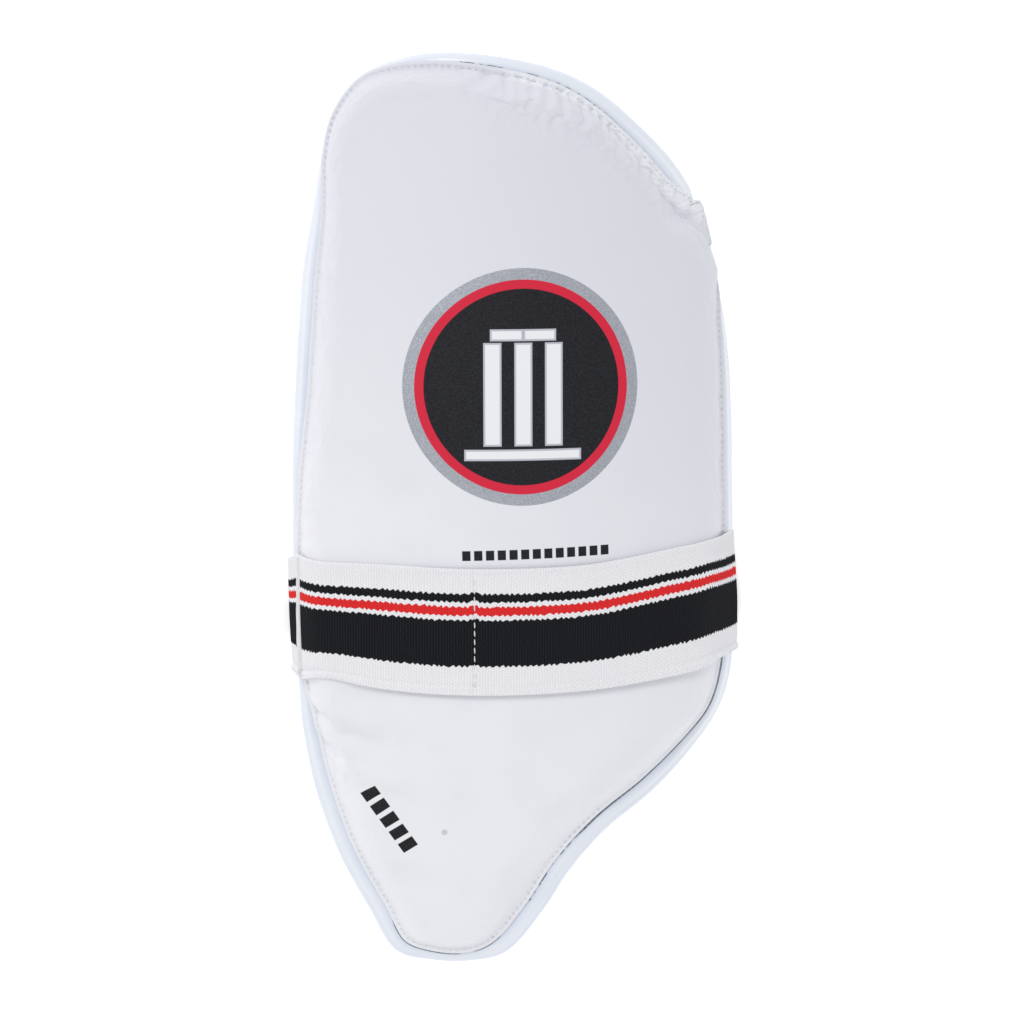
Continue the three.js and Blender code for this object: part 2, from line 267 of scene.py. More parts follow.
def read(at: np.ndarray, arc: np.ndarray, rows: np.ndarray) -> np.ndarray:
    """Reads rows of numbers, which are known at the distances in arc, at other distances."""
    return np.column_stack([np.interp(at, arc, column) for column in rows.T])


def link(name: str, data: bpy.types.ID) -> bpy.types.Object:
    """Makes an object of some data and links it into the scene."""
    made = bpy.data.objects.new(name, data)
    bpy.context.scene.collection.objects.link(made)
    return made


@dataclass(frozen=True)
class Stations:
    """Places round the rim, clockwise from its highest point; left and right ones share a spine point."""

    point: np.ndarray
    normal: np.ndarray
    outward: np.ndarray
    spine: np.ndarray
    inset: np.ndarray
    bevel: np.ndarray
    arc: np.ndarray

    @property
    def count(self) -> int:
        """Number of stations."""
        return len(self.point)

    @property
    def line(self) -> np.ndarray:
        """The stations laid out straight by their distance, for noise that runs round the rim."""
        return np.column_stack([self.arc, self.arc * 0, self.arc * 0])


@dataclass(frozen=True)
class Shell:
    """The arched surface that passes through the middle of the rim."""

    rim_length: float = 389.0
    rim_width: float = 189.0
    arch_rise: float = 34.0
    bead: float = 3.6
    bevel_width: float = 20.0
    strap_width: float = 53.0
    strap_lift: float = 2.3
    strap_place: float = -44.0
    strap_tilt: float = 0.8
    strap_margin: float = 4.0
    lift_run: float = 32.0
    spine_share: float = 0.84
    turn_in: float = 7.0
    path_steps: int = 40
    crown: float = 1.1

    @property
    def tilt_slope(self) -> float:
        """Rise of the strap's middle line for each millimetre across."""
        return math.tan(math.radians(self.strap_tilt))

    def from_strap(self, x: np.ndarray, y: np.ndarray) -> np.ndarray:
        """Gives the distance along the pad from the strap's middle line, positive towards the top."""
        return y - self.tilt_slope * x - self.strap_place

    def foot(self, x: np.ndarray, y: np.ndarray) -> np.ndarray:
        """Gives the height of the arch's feet, which rise over the strap that passes under them."""
        away = np.abs(self.from_strap(x, y)) - self.strap_width / 2 - self.strap_margin
        return self.bead + self.strap_lift * (1.0 - smooth(away, 0.0, self.lift_run))

    def arch(self, y: np.ndarray) -> np.ndarray:
        """Reads the arch's table.

        Args:
            y: Places along the pad.

        Returns:
            The left foot, right foot and rise at each place, as shares, along the last axis.
        """
        places = np.array([row.along for row in ARCH])
        values = np.array([row[1:] for row in ARCH])
        secants = np.diff(values, axis=0) / np.diff(places)[:, None]
        slopes = np.vstack([secants[:1], (secants[:-1] + secants[1:]) / 2, secants[-1:]])
        along = np.clip(np.asarray(y) / self.rim_length, places[0], places[-1])
        index = np.clip(np.searchsorted(places, along, side="right") - 1, 0, len(places) - 2)
        step = (places[index + 1] - places[index])[..., None]
        share = (along - places[index])[..., None] / step
        leave, arrive = slopes[index] * step, slopes[index + 1] * step
        return hermite(values[index], values[index + 1], leave, arrive, share)

    def height(self, x: np.ndarray, y: np.ndarray) -> np.ndarray:
        """Gives the height of the surface above the floor.

        Args:
            x: Places across the pad.
            y: Places along the pad.

        Returns:
            Heights of the same shape.
        """
        left, right, rise = np.moveaxis(self.arch(y), -1, 0)
        half = (right - left) / 2 * self.rim_width
        middle = (right + left) / 2 * self.rim_width
        crown = rise * self.arch_rise
        radius = (half * half + crown * crown) / (2 * crown)
        away = np.minimum(np.abs(x - middle), 0.98 * radius)
        return self.foot(x, y) + crown - radius + np.sqrt(radius * radius - away * away)

    def normal(self, x: np.ndarray, y: np.ndarray) -> np.ndarray:
        """Gives the surface's upward unit normal.

        Args:
            x: Places across the pad.
            y: Places along the pad.

        Returns:
            Vectors along a new last axis.
        """
        step = 0.5
        slope_x = (self.height(x + step, y) - self.height(x - step, y)) / (2 * step)
        slope_y = (self.height(x, y + step) - self.height(x, y - step)) / (2 * step)
        return unit(np.stack([-slope_x, -slope_y, np.ones_like(slope_x)], axis=-1))

    def over(self, plan: np.ndarray, height: np.ndarray | float) -> np.ndarray:
        """Finds points at a height over the surface, measured square to it.

        Args:
            plan: Places across and along, on the last axis.
            height: Height of each point.

        Returns:
            Points, with three numbers along the last axis.
        """
        x, y = plan[..., 0], plan[..., 1]
        base = np.stack([x, y, self.height(x, y)], axis=-1)
        return base + self.normal(x, y) * np.asarray(height)[..., None]

    def crown_lift(self, inside: np.ndarray, inset: np.ndarray) -> np.ndarray:
        """Gives how far the tape bulges between its fold and the panel's edge.

        Args:
            inside: Distance of each point inside the rim.
            inset: How far inside the rim the panel's edge lies.

        Returns:
            Heights to add.
        """
        share = np.clip(inside / np.maximum(inset, 1.2), 0.0, 1.0)
        return self.crown * np.sin(np.pi * share) ** 2 * smooth(inset, 1.5, 5.0)

    def rim(self, params: np.ndarray) -> np.ndarray:
        """Gives points of the rim in plan, where a full turn is 1."""
        knots = np.array([(row.across * self.rim_width, row.along * self.rim_length) for row in RIM])
        return closed_curve(knots, params, True)

    def poles(self) -> tuple[float, float]:
        """Finds the rim's highest and lowest point in plan, as places on it."""
        scan = np.arange(2000) / 2000
        along = self.rim(scan)[:, 1]
        top, tip = float(scan[along.argmax()]), float(scan[along.argmin()])
        return (top - 1.0 if top > tip else top), tip

    def at_level(self, level: np.ndarray, high: float, low: float) -> np.ndarray:
        """Finds the places on one side of the rim at given levels, by halving.

        Args:
            level: Levels along the pad.
            high: Place of the rim's highest point on this side.
            low: Place of its lowest point.

        Returns:
            One place for each level.
        """
        upper, lower = np.full(level.shape, high), np.full(level.shape, low)
        for _ in range(40):
            middle = (upper + lower) / 2
            above = self.rim(middle)[:, 1] > level
            upper, lower = np.where(above, middle, upper), np.where(above, lower, middle)
        return (upper + lower) / 2

    def stations(self, levels: int) -> Stations:
        """Places stations round the rim in pairs that share a spine point.

        Args:
            levels: Number of steps down each side.

        Returns:
            The stations, clockwise from the rim's highest point.
        """
        top, tip = self.poles()
        ends = self.rim(np.array([top, tip]))[:, 1]
        middle, half = ends.sum() / 2, (ends[0] - ends[1]) / 2
        level = middle + half * np.cos(np.pi * np.arange(1, levels) / levels)
        right, left = self.at_level(level, top, tip), self.at_level(level, top + 1, tip)
        params = np.concatenate([[top], right, [tip], left[::-1]])
        plan = self.rim(params)
        point = self.over(plan, 0.0)
        normal = self.normal(plan[:, 0], plan[:, 1])
        delta = 1e-4
        along = self.rim(params + delta) - self.rim(params - delta)
        climb = -(along * normal[:, :2]).sum(axis=1) / normal[:, 2]
        outward = unit(np.cross(normal, np.column_stack([along, climb])))
        pair = plan[(2 * levels - np.arange(2 * levels)) % (2 * levels)]
        shared = (plan + pair) / 2
        width = np.abs(plan[:, 0] - pair[:, 0]) + 1.0
        along_spine = (shared[:, 1] - middle) / half
        bow = np.polynomial.Polynomial.fit(along_spine, shared[:, 0], 5, w=width)
        spine_level = middle + (shared[:, 1] - middle) * self.spine_share
        spine = np.column_stack([bow(along_spine * self.spine_share), spine_level])
        table = np.array([(row.inset * self.bead, row.bevel * self.bevel_width) for row in RIM])
        inset, bevel = closed_curve(table, params, False).T
        return Stations(point, normal, outward, spine, inset, bevel, travelled(point))

    def inward(
        self, stations: Stations, inset: np.ndarray, distances: Callable[[np.ndarray], np.ndarray],
    ) -> tuple[np.ndarray, np.ndarray]:
        """Walks in from the rim to the spine, leaving the edge square to it.

        Args:
            stations: Places round the rim.
            inset: How far inside the rim each walk starts.
            distances: Turns the walks' lengths into the distances to stop at, one row for each station;
                a stop before the start is below 0.

        Returns:
            The stops in plan and their distances from the start.
        """
        edge = stations.point[:, :2] - stations.outward[:, :2] * inset[:, None]
        turn = edge - stations.outward[:, :2] * self.turn_in
        t = np.linspace(0.0, 1.0, self.path_steps + 1)[:, None, None]
        plan = (1 - t) ** 2 * edge + 2 * t * (1 - t) * turn + t ** 2 * stations.spine
        steps = np.diff(np.dstack([plan, self.height(plan[..., 0], plan[..., 1])]), axis=0)
        lengths = np.vstack([np.zeros(stations.count), np.cumsum(np.linalg.norm(steps, axis=2), axis=0)])
        stops = distances(lengths[-1])
        found = np.empty(stops.shape + (2,))
        for i in range(stations.count):
            for axis in range(2):
                found[i, :, axis] = np.interp(stops[i], lengths[:, i], plan[:, i, axis])
        found[:, -1] = stations.spine
        return found + stations.outward[:, None, :2] * np.maximum(-stops, 0.0)[..., None], stops


@dataclass(frozen=True)
class Workshop:
    """Turns point grids in the rim's millimetres into mesh objects in the frame's metres."""

    shift: np.ndarray

    def mesh(
        self, name: str, points: np.ndarray, faces: np.ndarray, weave: np.ndarray | None = None,
        marks: Mapping[str, np.ndarray] | None = None,
    ) -> bpy.types.Object:
        """Makes a smooth mesh object.

        Args:
            name: Name of the object.
            points: Points in millimetres in the rim's frame.
            faces: Corner numbers, four to a row.
            weave: Place of each face corner on the cloth, in millimetres, or None.
            marks: Numbers by name, one for each point, that the finish reads.

        Returns:
            The object, linked into the scene.
        """
        data = bpy.data.meshes.new(name)
        data.from_pydata(((points.reshape(-1, 3) + self.shift) * MM).tolist(), [], faces.tolist())
        if weave is not None:
            layer = data.uv_layers.new(name="weave")
            layer.data.foreach_set("uv", (weave.reshape(-1, 2) * MM).astype(np.float32).ravel())
        for key, values in (marks or {}).items():
            layer = data.attributes.new(key, "FLOAT", "POINT")
            layer.data.foreach_set("value", values.astype(np.float32).ravel())
        data.shade_smooth()
        return link(name, data)

    def cells(self, rows: int, count: int, closed: bool) -> tuple[np.ndarray, np.ndarray]:
        """Numbers the four corners of every cell between rings of points.

        Args:
            rows: Number of rings.
            count: Number of points in each.
            closed: Whether the last ring joins the first.

        Returns:
            The corners as rings, and as places round them.
        """
        j, i = np.meshgrid(np.arange(rows if closed else rows - 1), np.arange(count), indexing="ij")
        return np.stack([j, j, j + 1, j + 1], axis=-1), np.stack([i, i + 1, i + 1, i], axis=-1)

    def rings(
        self, name: str, rings: np.ndarray, closed: bool, weave: np.ndarray | None = None,
        marks: Mapping[str, np.ndarray] | None = None,
    ) -> bpy.types.Object:
        """Skins rings of points, each joined to the next.

        Args:
            name: Name of the object.
            rings: Points by ring and by place round it.
            closed: Whether the last ring joins the first.
            weave: Places on the cloth, with one more ring and place than the points where those close.
            marks: Numbers by name, one for each point, that the finish reads.

        Returns:
            The object, with doubled points merged.
        """
        rows, count = rings.shape[:2]
        j, i = self.cells(rows, count, closed)
        faces = (j % rows) * count + i % count
        corners = None if weave is None else weave[j, i]
        made = self.mesh(name, rings, faces.reshape(-1, 4), corners, marks)
        if not closed:
            self.weld(made)
        return made

    def weld(self, piece: bpy.types.Object) -> None:
        """Merges the points of a piece that lie in the same place."""
        soup = bmesh.new()
        soup.from_mesh(piece.data)
        bmesh.ops.remove_doubles(soup, verts=soup.verts, dist=1e-3 * MM)
        soup.to_mesh(piece.data)
        soup.free()

    def place(
        self, piece: bpy.types.Object, finish: bpy.types.Material, slot: Slot, *stands_for: str,
    ) -> bpy.types.Object:
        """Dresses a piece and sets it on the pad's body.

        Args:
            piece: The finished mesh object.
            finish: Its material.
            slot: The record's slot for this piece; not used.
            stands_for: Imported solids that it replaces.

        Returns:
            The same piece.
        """
        piece.data.materials.clear()
        piece.data.materials.append(finish)
        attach(piece, BODY)
        if stands_for:
            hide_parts(*stands_for)
        LOG.info("%s: %d faces, %s", piece.name, len(piece.data.polygons), finish.name)
        return piece


@dataclass(frozen=True)
class Thread:
    """Sewing thread that shows as short raised stitches."""

    radius: float = 0.24
    sides: int = 6
    rings: int = 7
    arch: float = 0.16
    sink: float = 0.22

    def sew(
        self, shop: Workshop, name: str, starts: np.ndarray, ends: np.ndarray, up: np.ndarray,
    ) -> bpy.types.Object:
        """Makes all the stitches of a seam as one mesh.

        Args:
            shop: Maker of the mesh.
            name: Name of the piece.
            starts: Where each stitch comes up.
            ends: Where each stitch goes down.
            up: The cloth's normal at each stitch.

        Returns:
            The object.
        """
        t = np.linspace(0.0, 1.0, self.rings)[None, :, None]
        rise = np.sin(np.pi * t)
        along, normal = ends - starts, up[:, None, :]
        middle = starts[:, None] + along[:, None] * t + normal * (self.arch * rise - self.sink * (1 - rise))
        side = unit(np.cross(along, up))[:, None, None, :]
        turn = (2 * np.pi * np.arange(self.sides) / self.sides)[None, None, :, None]
        thick = self.radius * (0.55 + 0.45 * rise ** 0.5)[..., None]
        around = np.cos(turn) * side + np.sin(turn) * normal[:, :, None]
        points = middle[:, :, None] + around * thick
        j, i = np.meshgrid(np.arange(self.rings - 1), np.arange(self.sides), indexing="ij")
        beside = (i + 1) % self.sides
        cell = np.stack([j, j, j + 1, j + 1], -1) * self.sides + np.stack([i, beside, beside, i], -1)
        caps = np.array([(0, 1, 2, 3), (0, 3, 4, 5)])
        last = (self.rings - 1) * self.sides
        cell = np.vstack([cell.reshape(-1, 4)[:, ::-1], caps, caps[:, ::-1] + last])
        size = self.rings * self.sides
        faces = (cell[None] + size * np.arange(len(starts))[:, None, None]).reshape(-1, 4)
        return shop.mesh(name, points, faces)


def along_loop(
    loop: np.ndarray, normals: np.ndarray, pitch: float, share: float,
) -> tuple[np.ndarray, np.ndarray, np.ndarray, np.ndarray]:
    """Lays equal stitches along a line of points.

    Args:
        loop: The line's points in order.
        normals: The cloth's normal at each of them.
        pitch: Length of a stitch and the hole after it, before it is fitted to the line.
        share: Share of the pitch that the stitch takes.

    Returns:
        The starts, the ends, the normals and the distance of each stitch's middle along the line.
    """
    arc = travelled(loop)
    count = max(1, round(arc[-1] / pitch))
    fitted = arc[-1] / count
    first = fitted * (np.arange(count) + (1 - share) / 2)
    last = first + fitted * share
    middles = (first + last) / 2
    return read(first, arc, loop), read(last, arc, loop), unit(read(middles, arc, normals)), middles


@dataclass(frozen=True)
class LooseCover:
    """Cloth simulation in which the cover's slack settles into folds beside the seam."""

    step: int = 2
    first: int = 7
    frames: int = 14
    slack: float = 0.08
    pressure: float = 0.3
    mass: float = 0.15
    stretch: float = 25.0
    shear: float = 8.0
    bend: float = 0.05
    spring: float = 5.0
    quality: int = 6
    damping: float = 15.0
    bend_damping: float = 2.0
    limit: float = 1.3
    slope_end: int = 43
    slope_step: int = 2
    inner_step: int = 3

    def spread(self, kept: np.ndarray, count: int, period: int | None = None) -> np.ndarray:
        """Gives the weights that read every one of count places from the kept ones."""
        rows = np.eye(len(kept))
        return np.column_stack([np.interp(np.arange(count), kept, row, period=period) for row in rows])

    def group(self, piece: bpy.types.Object, name: str, weights: np.ndarray) -> str:
        """Writes weights into a vertex group.

        Args:
            piece: The mesh object.
            name: Name of the group.
            weights: One weight for each point.

        Returns:
            The group's name.
        """
        made = piece.vertex_groups.new(name=name)
        for point, weight in enumerate(weights.ravel()):
            made.add([point], float(weight), "REPLACE")
        return made.name

    def simulate(self, piece: bpy.types.Object, held: np.ndarray, taut: np.ndarray) -> np.ndarray:
        """Runs the cloth on a mesh.

        Args:
            piece: The mesh, which is left as it is.
            held: How firmly each point keeps its place, where 1 doesn't move.
            taut: How little slack there is at each point.

        Returns:
            Where the points come to lie, in metres.
        """
        cloth = piece.modifiers.new("slack", "CLOTH")
        rules = cloth.settings
        rules.quality, rules.mass = self.quality, self.mass
        rules.tension_stiffness = rules.compression_stiffness = self.stretch
        rules.shear_stiffness, rules.bending_stiffness = self.shear, self.bend
        rules.tension_damping = rules.compression_damping = self.damping
        rules.bending_damping = self.bend_damping
        rules.vertex_group_mass, rules.pin_stiffness = self.group(piece, "held", held), self.spring
        rules.vertex_group_shrink = self.group(piece, "taut", taut)
        rules.shrink_min, rules.shrink_max = -self.slack, 0.0
        rules.use_pressure, rules.uniform_pressure_force = True, self.pressure
        rules.effector_weights.gravity = 0.0
        cloth.point_cache.frame_start, cloth.point_cache.frame_end = 1, self.frames
        scene = bpy.context.scene
        for step in range(1, self.frames + 1):
            scene.frame_set(step)
        settled = piece.evaluated_get(bpy.context.evaluated_depsgraph_get()).data
        spots = np.empty(len(settled.vertices) * 3, np.float32)
        settled.vertices.foreach_get("co", spots)
        scene.frame_set(1)
        return spots.reshape(-1, 3).astype(float)

    def settle(self, shop: Workshop, cover: np.ndarray, held: np.ndarray, taut: np.ndarray) -> np.ndarray:
        """Finds how far each point of the cover moves when its slack settles.

        Args:
            shop: Maker of the mesh.
            cover: The cover's points, by station and ring.
            held: How firmly the foam holds each point, where 1 doesn't move.
            taut: How little slack there is at each point.

        Returns:
            Moves of the same shape as the cover, none longer than the limit.
        """
        count, rows = cover.shape[:2]
        lines = np.arange(0, count, self.step)
        slope = np.arange(self.first + 3, self.slope_end, self.slope_step)
        inner = np.arange(self.slope_end, rows, self.inner_step)
        kept = np.unique(np.concatenate([[self.first], slope, inner, [rows - 1]]))
        pick = np.ix_(lines, kept[::-1])
        coarse, held, taut = (np.moveaxis(values[pick], 0, 1) for values in (cover, held, taut))
        j, i = shop.cells(len(kept), len(lines), False)
        piece = shop.mesh("loose_cover", coarse, (j * len(lines) + i % len(lines)).reshape(-1, 4))
        found = self.simulate(piece, held, taut) / MM - shop.shift
        data = piece.data
        bpy.data.objects.remove(piece)
        bpy.data.meshes.remove(data)
        moves = found.reshape(coarse.shape) - coarse
        by_ring, by_line = self.spread(kept, rows), self.spread(lines, count, count)
        moves = np.einsum("ij,kl,jlx->kix", by_ring, by_line, moves[::-1])
        moves = (np.roll(moves, 1, axis=0) + 2 * moves + np.roll(moves, -1, axis=0)) / 4
        length = np.linalg.norm(moves, axis=-1, keepdims=True)
        LOG.info("the cover's slack settles by %.2f mm at most, %.2f mm kept", length.max(), self.limit)
        return moves * self.limit * np.tanh(length / self.limit) / np.maximum(length, 1e-6)


@dataclass
class FrontPanel:
    """Foam panel under a sewn, coated cover, with its seam, gathers and soft creases."""

    shell: Shell
    levels: int = 560
    under: float = 3.9
    hem: float = 1.6
    hem_width: float = 3.0
    thickness: float = 16.0
    slope_power: float = 1.8
    slope_rings: int = 32
    inner_rings: int = 34
    under_rings: int = 9
    seam_line: float = 1.9
    seam_pitch: float = 2.9
    groove: float = 0.42
    loose: LooseCover = LooseCover()
    slack_start: float = 58.0
    slack_full: float = 128.0
    slack_end: float = 136.0
    slack_fade: float = 14.0
    slack_width: float = 4.6
    strap_press: float = 1.2
    ruffled: Span = (118.0, 160.0, 14.0)
    flap: Span = (116.0, 134.0, 2.6)
    flap_ease: Span = (120.0, 135.0, 17.0)
    flap_out: float = 2.3
    flap_bulge: float = 4.5
    bulged: Span = (106.0, 127.0, 11.0)
    side: Span = (-30.0, 96.0, 12.0)
    side_reach: float = 1.1
    gathered: Span = (20.0, 140.0, 16.0)
    turned: Span = (318.0, 440.0, 12.0)
    crumpled_in: Span = (1.6, 6.5, 3.5)
    pleated: Span = (34.0, 130.0, 16.0)
    pleated_in: Span = (0.9, 3.6, 1.8)
    loose_round: Span = (22.0, 142.0, 22.0)
    loose_left: Span = (-104.0, -70.0, 12.0)
    wrap: float = 3.95
    slope_start: float = 3.2
    slope_spread: float = 1.15
    pucker_pitch: float = 7.0
    pucker_margin: float = 4.0
    SEAM_RINGS: tuple[float, ...] = (0.0, 0.25, 0.6, 1.0, 1.3, 1.6, 1.9, 2.2)
    PUCKERS: tuple[tuple[float, float], ...] = ((-3, 3), (3, 7), (0.06, 0.2), (0.9, 1.6), (-0.4, 0.4))
    overhang: np.ndarray = field(init=False)
    top: np.ndarray = field(init=False)
    seam: np.ndarray = field(init=False)
    seam_up: np.ndarray = field(init=False)
    crumple: np.ndarray = field(init=False)

    def slack(self, arc: np.ndarray) -> np.ndarray:
        """Gives the share of the loose, crumpled strip beside the seam at each distance round the rim."""
        end = smooth(arc, self.slack_end, self.slack_end + self.slack_fade)
        return smooth(arc, self.slack_start, self.slack_full) * (1.0 - end)

    def distances(self, stations: Stations, reach: np.ndarray) -> np.ndarray:
        """Chooses where the rings lie on each walk from the panel's usual edge to the spine.

        Args:
            stations: Places round the rim.
            reach: Length of each walk.

        Returns:
            Distances, one row for each station, below 0 where the cover hangs over its usual edge.
        """
        near = np.array(self.SEAM_RINGS) - self.overhang[:, None]
        hem = near[:, -1:] + (self.slope_start - near[:, -1:]) * np.array([0.35, 0.7, 1.0])
        spread = np.linspace(0, 1, self.slope_rings + 1)[1:] ** self.slope_spread
        slope = self.slope_start + spread * stations.bevel[:, None]
        even = np.linspace(0, 1, self.inner_rings + 1)[1:]
        inner = slope[:, -1:] + even * (reach[:, None] - slope[:, -1:])
        return np.hstack([near, hem, slope, inner])

    def swell(self, stations: Stations, stops: np.ndarray) -> np.ndarray:
        """Gives the cover's height over the panel's underside, before any fold.

        Args:
            stations: Places round the rim.
            stops: Distance of each ring from the panel's usual edge, one row for each station.

        Returns:
            Heights of the same shape as the stops.
        """
        extra = self.slack_width * self.slack(stations.arc)[:, None]
        bulge = band(stations.point[:, 1], *self.bulged) * (stations.point[:, 0] > 0)
        start = self.hem_width + extra - self.flap_bulge * bulge[:, None]
        share = np.clip((stops - start) / (stations.bevel[:, None] - 0.6 * extra), 0.0, 1.0)
        full = 1.0 - (1.0 - share) ** self.slope_power
        lip = 0.5 * bump_of(stops + self.overhang[:, None], 0.45)
        return self.hem + 0.12 * extra + full * (self.thickness - self.hem - 0.12 * extra) - lip

    def hidden_seam(self, arc: np.ndarray) -> np.ndarray:
        """Gives 1 along the lower right edge, where the cover is turned under and no stitch shows."""
        return band(arc, *self.turned)

    def seam_relief(self, arc: np.ndarray, stops: np.ndarray) -> np.ndarray:
        """Sinks the cover along its seam, deeper at each hole, with a small pucker between the holes.

        Args:
            arc: Distance of each point round the rim.
            stops: Distance of each point from the cover's edge.

        Returns:
            Heights to add.
        """
        beat = np.cos(2 * np.pi * arc / self.seam_pitch)
        line = bump_of(stops - self.seam_line, 0.6) * (1.0 - 0.75 * band(arc, *self.gathered))
        line *= 1.0 - 0.95 * self.hidden_seam(arc)
        return -self.groove * line * (0.8 - 0.2 * beat) + 0.12 * beat * bump_of(stops - 3.1, 1.2)

    def gather_relief(self, arc: np.ndarray, stops: np.ndarray) -> np.ndarray:
        """Folds the cover where it is gathered into the seam.

        Args:
            arc: Distance of each point round the rim.
            stops: Distance of each point from the panel's edge.

        Returns:
            Heights to add.
        """
        relief = np.zeros_like(stops)
        small = np.random.default_rng(11)
        last = float(arc.max()) - self.pucker_margin
        puckers = []
        for place in np.arange(self.pucker_margin, last, self.pucker_pitch):
            shift, *sizes = [small.uniform(*limits) for limits in self.PUCKERS]
            puckers.append(Gather(place + shift, *sizes))
        for fold in (*GATHERS, *puckers):
            reach = np.clip((stops - self.seam_line) / fold.length, 0.0, 1.0)
            across = arc - fold.place - fold.slant * (stops - self.seam_line)
            width = fold.width * (1.0 + 0.8 * reach)
            valley = bump_of(across, width)
            ridges = bump_of(across - 1.7 * width, width) + bump_of(across + 1.7 * width, width)
            fade = (1.0 - smooth(reach, 0.25, 1.0)) * smooth(stops, 0.9, 2.2)
            relief += fold.depth * fade * (0.42 * ridges - valley)
        return relief

    def crease_relief(self, x: np.ndarray, y: np.ndarray) -> np.ndarray:
        """Adds the soft creases of the cover, each a valley with a low ridge beside it.

        Args:
            x: Places across the pad.
            y: Places along the pad.

        Returns:
            Heights to add.
        """
        relief = np.zeros_like(x)
        for crease in CREASES:
            run = np.array([crease.to_x - crease.from_x, crease.to_y - crease.from_y])
            length = float(np.hypot(*run))
            run /= length
            along = (x - crease.from_x) * run[0] + (y - crease.from_y) * run[1]
            across = (x - crease.from_x) * -run[1] + (y - crease.from_y) * run[0]
            fade = smooth(along, -0.15 * length, 0.25 * length)
            fade *= 1 - smooth(along, 0.55 * length, 1.1 * length)
            valley = bump_of(across, crease.width)
            ridge = bump_of(across - 1.6 * crease.width, crease.width)
            relief += crease.depth * fade * (0.4 * ridge - valley)
        return relief

    def floor(self, stations: Stations, stops: np.ndarray) -> np.ndarray:
        """Gives the height of the panel's underside, which bends down over the tape past the rim.

        Args:
            stations: Places round the rim.
            stops: Distance of each ring from the panel's usual edge.

        Returns:
            Heights of the same shape as the stops.
        """
        out = np.clip(-stations.inset[:, None] - stops, 0.0, self.wrap - 0.1)
        return np.minimum(self.under, np.sqrt(self.wrap ** 2 - out ** 2))

    def hang(self, stations: Stations) -> np.ndarray:
        """Gives how far the cover hangs over the panel's usual edge.

        Args:
            stations: Places round the rim.

        Returns:
            One length for each station.
        """
        level, right = stations.point[:, 1], stations.point[:, 0] > 0
        flap = np.maximum(band(level, *self.flap), 0.55 * band(level, *self.flap_ease)) * right
        ruffle = band(stations.arc, *self.ruffled)
        wavy = 0.45 * ruffle * grain(stations.line, 3.4, 3.7) + 0.1 * grain(stations.line, 9.0, 8.1)
        beside = band(level, *self.side) * right
        return flap * (self.flap_out + stations.inset) + self.side_reach * beside - wavy

    def waves(self, x: np.ndarray, y: np.ndarray, stops: np.ndarray) -> np.ndarray:
        """Adds the broad, soft unevenness of the foam under the cover.

        Args:
            x: Places across the pad.
            y: Places along the pad.
            stops: Distance of each point from the panel's usual edge.

        Returns:
            Heights to add.
        """
        spread = np.stack([x, y, 0 * x], axis=-1)
        broad = 0.45 * smooth(stops, 8.0, 30.0) * grain(spread, 48.0, 1.3)
        return broad + 0.12 * smooth(stops, 3, 12) * grain(spread, 14.0, 5.9)

    def crumple_relief(self, arc: np.ndarray, stops: np.ndarray) -> np.ndarray:
        """Wrinkles the crumpled strip beside the seam, where the share of crumpling is known.

        Args:
            arc: Distance of each point round the rim.
            stops: Distance of each point from the panel's usual edge.

        Returns:
            Heights to add.
        """
        skewed = np.stack([(arc + 0.6 * stops) / 1.5, stops / 2.0, 0 * arc], axis=-1)
        folds = 0.25 - np.abs(grain(skewed, 1.5, 6.2))
        return self.crumple * (0.7 * grain(skewed, 0.9, 2.2) + 1.3 * folds)

    def shape(self, shop: Workshop) -> tuple[np.ndarray, Stations]:
        """Works out the cover's surface.

        Args:
            shop: Maker of the mesh that the cloth simulation moves.

        Returns:
            The rings of the cover from the edge to the spine, and the stations.
        """
        stations = self.shell.stations(self.levels)
        self.overhang = self.hang(stations)
        plan, stops = self.shell.inward(
            stations, stations.inset, lambda reach: self.distances(stations, reach),
        )
        edge = stops + self.overhang[:, None]
        x, y = plan[..., 0], plan[..., 1]
        arc = np.repeat(stations.arc[:, None], stops.shape[1], axis=1)
        height = self.swell(stations, stops) + self.seam_relief(arc, edge) + self.gather_relief(arc, edge)
        height += self.crease_relief(x, y)
        height += self.waves(x, y, stops)
        loose = self.slack(stations.arc)[:, None] * band(edge, *self.crumpled_in)
        pleats = 0.85 * band(arc, *self.pleated) * band(edge, *self.pleated_in)
        self.crumple = np.maximum(loose, pleats)
        height += self.crumple_relief(arc, stops)
        away = np.abs(self.shell.from_strap(x, y)) - self.shell.strap_width / 2
        height -= self.strap_press * (1.0 - smooth(away, -3.0, 3.0)) * smooth(stops, 3.0, 12.0)
        self.top = self.shell.over(plan, self.floor(stations, stops) + height)
        taut = self.tautness(stations, x, y, edge)
        self.top += self.loose.settle(shop, self.top, self.grip(edge, away), taut)
        return self.top, stations

    def grip(self, edge: np.ndarray, away: np.ndarray) -> np.ndarray:
        """Gives how firmly the foam, the seam and the strap hold each point of the cover.

        Args:
            edge: Distance of each point from the cover's edge.
            away: Distance of each point outside the strap.

        Returns:
            Weights from 0 to 1, where 1 is held fast.
        """
        foam = 0.15 + 0.3 * smooth(edge, 14.0, 34.0)
        fast = np.maximum(1.0 - smooth(away, -2.0, 8.0), 1.0 - smooth(edge, 2.6, 3.4))
        fast[:, -3:] = 1.0
        return np.maximum(foam, fast)

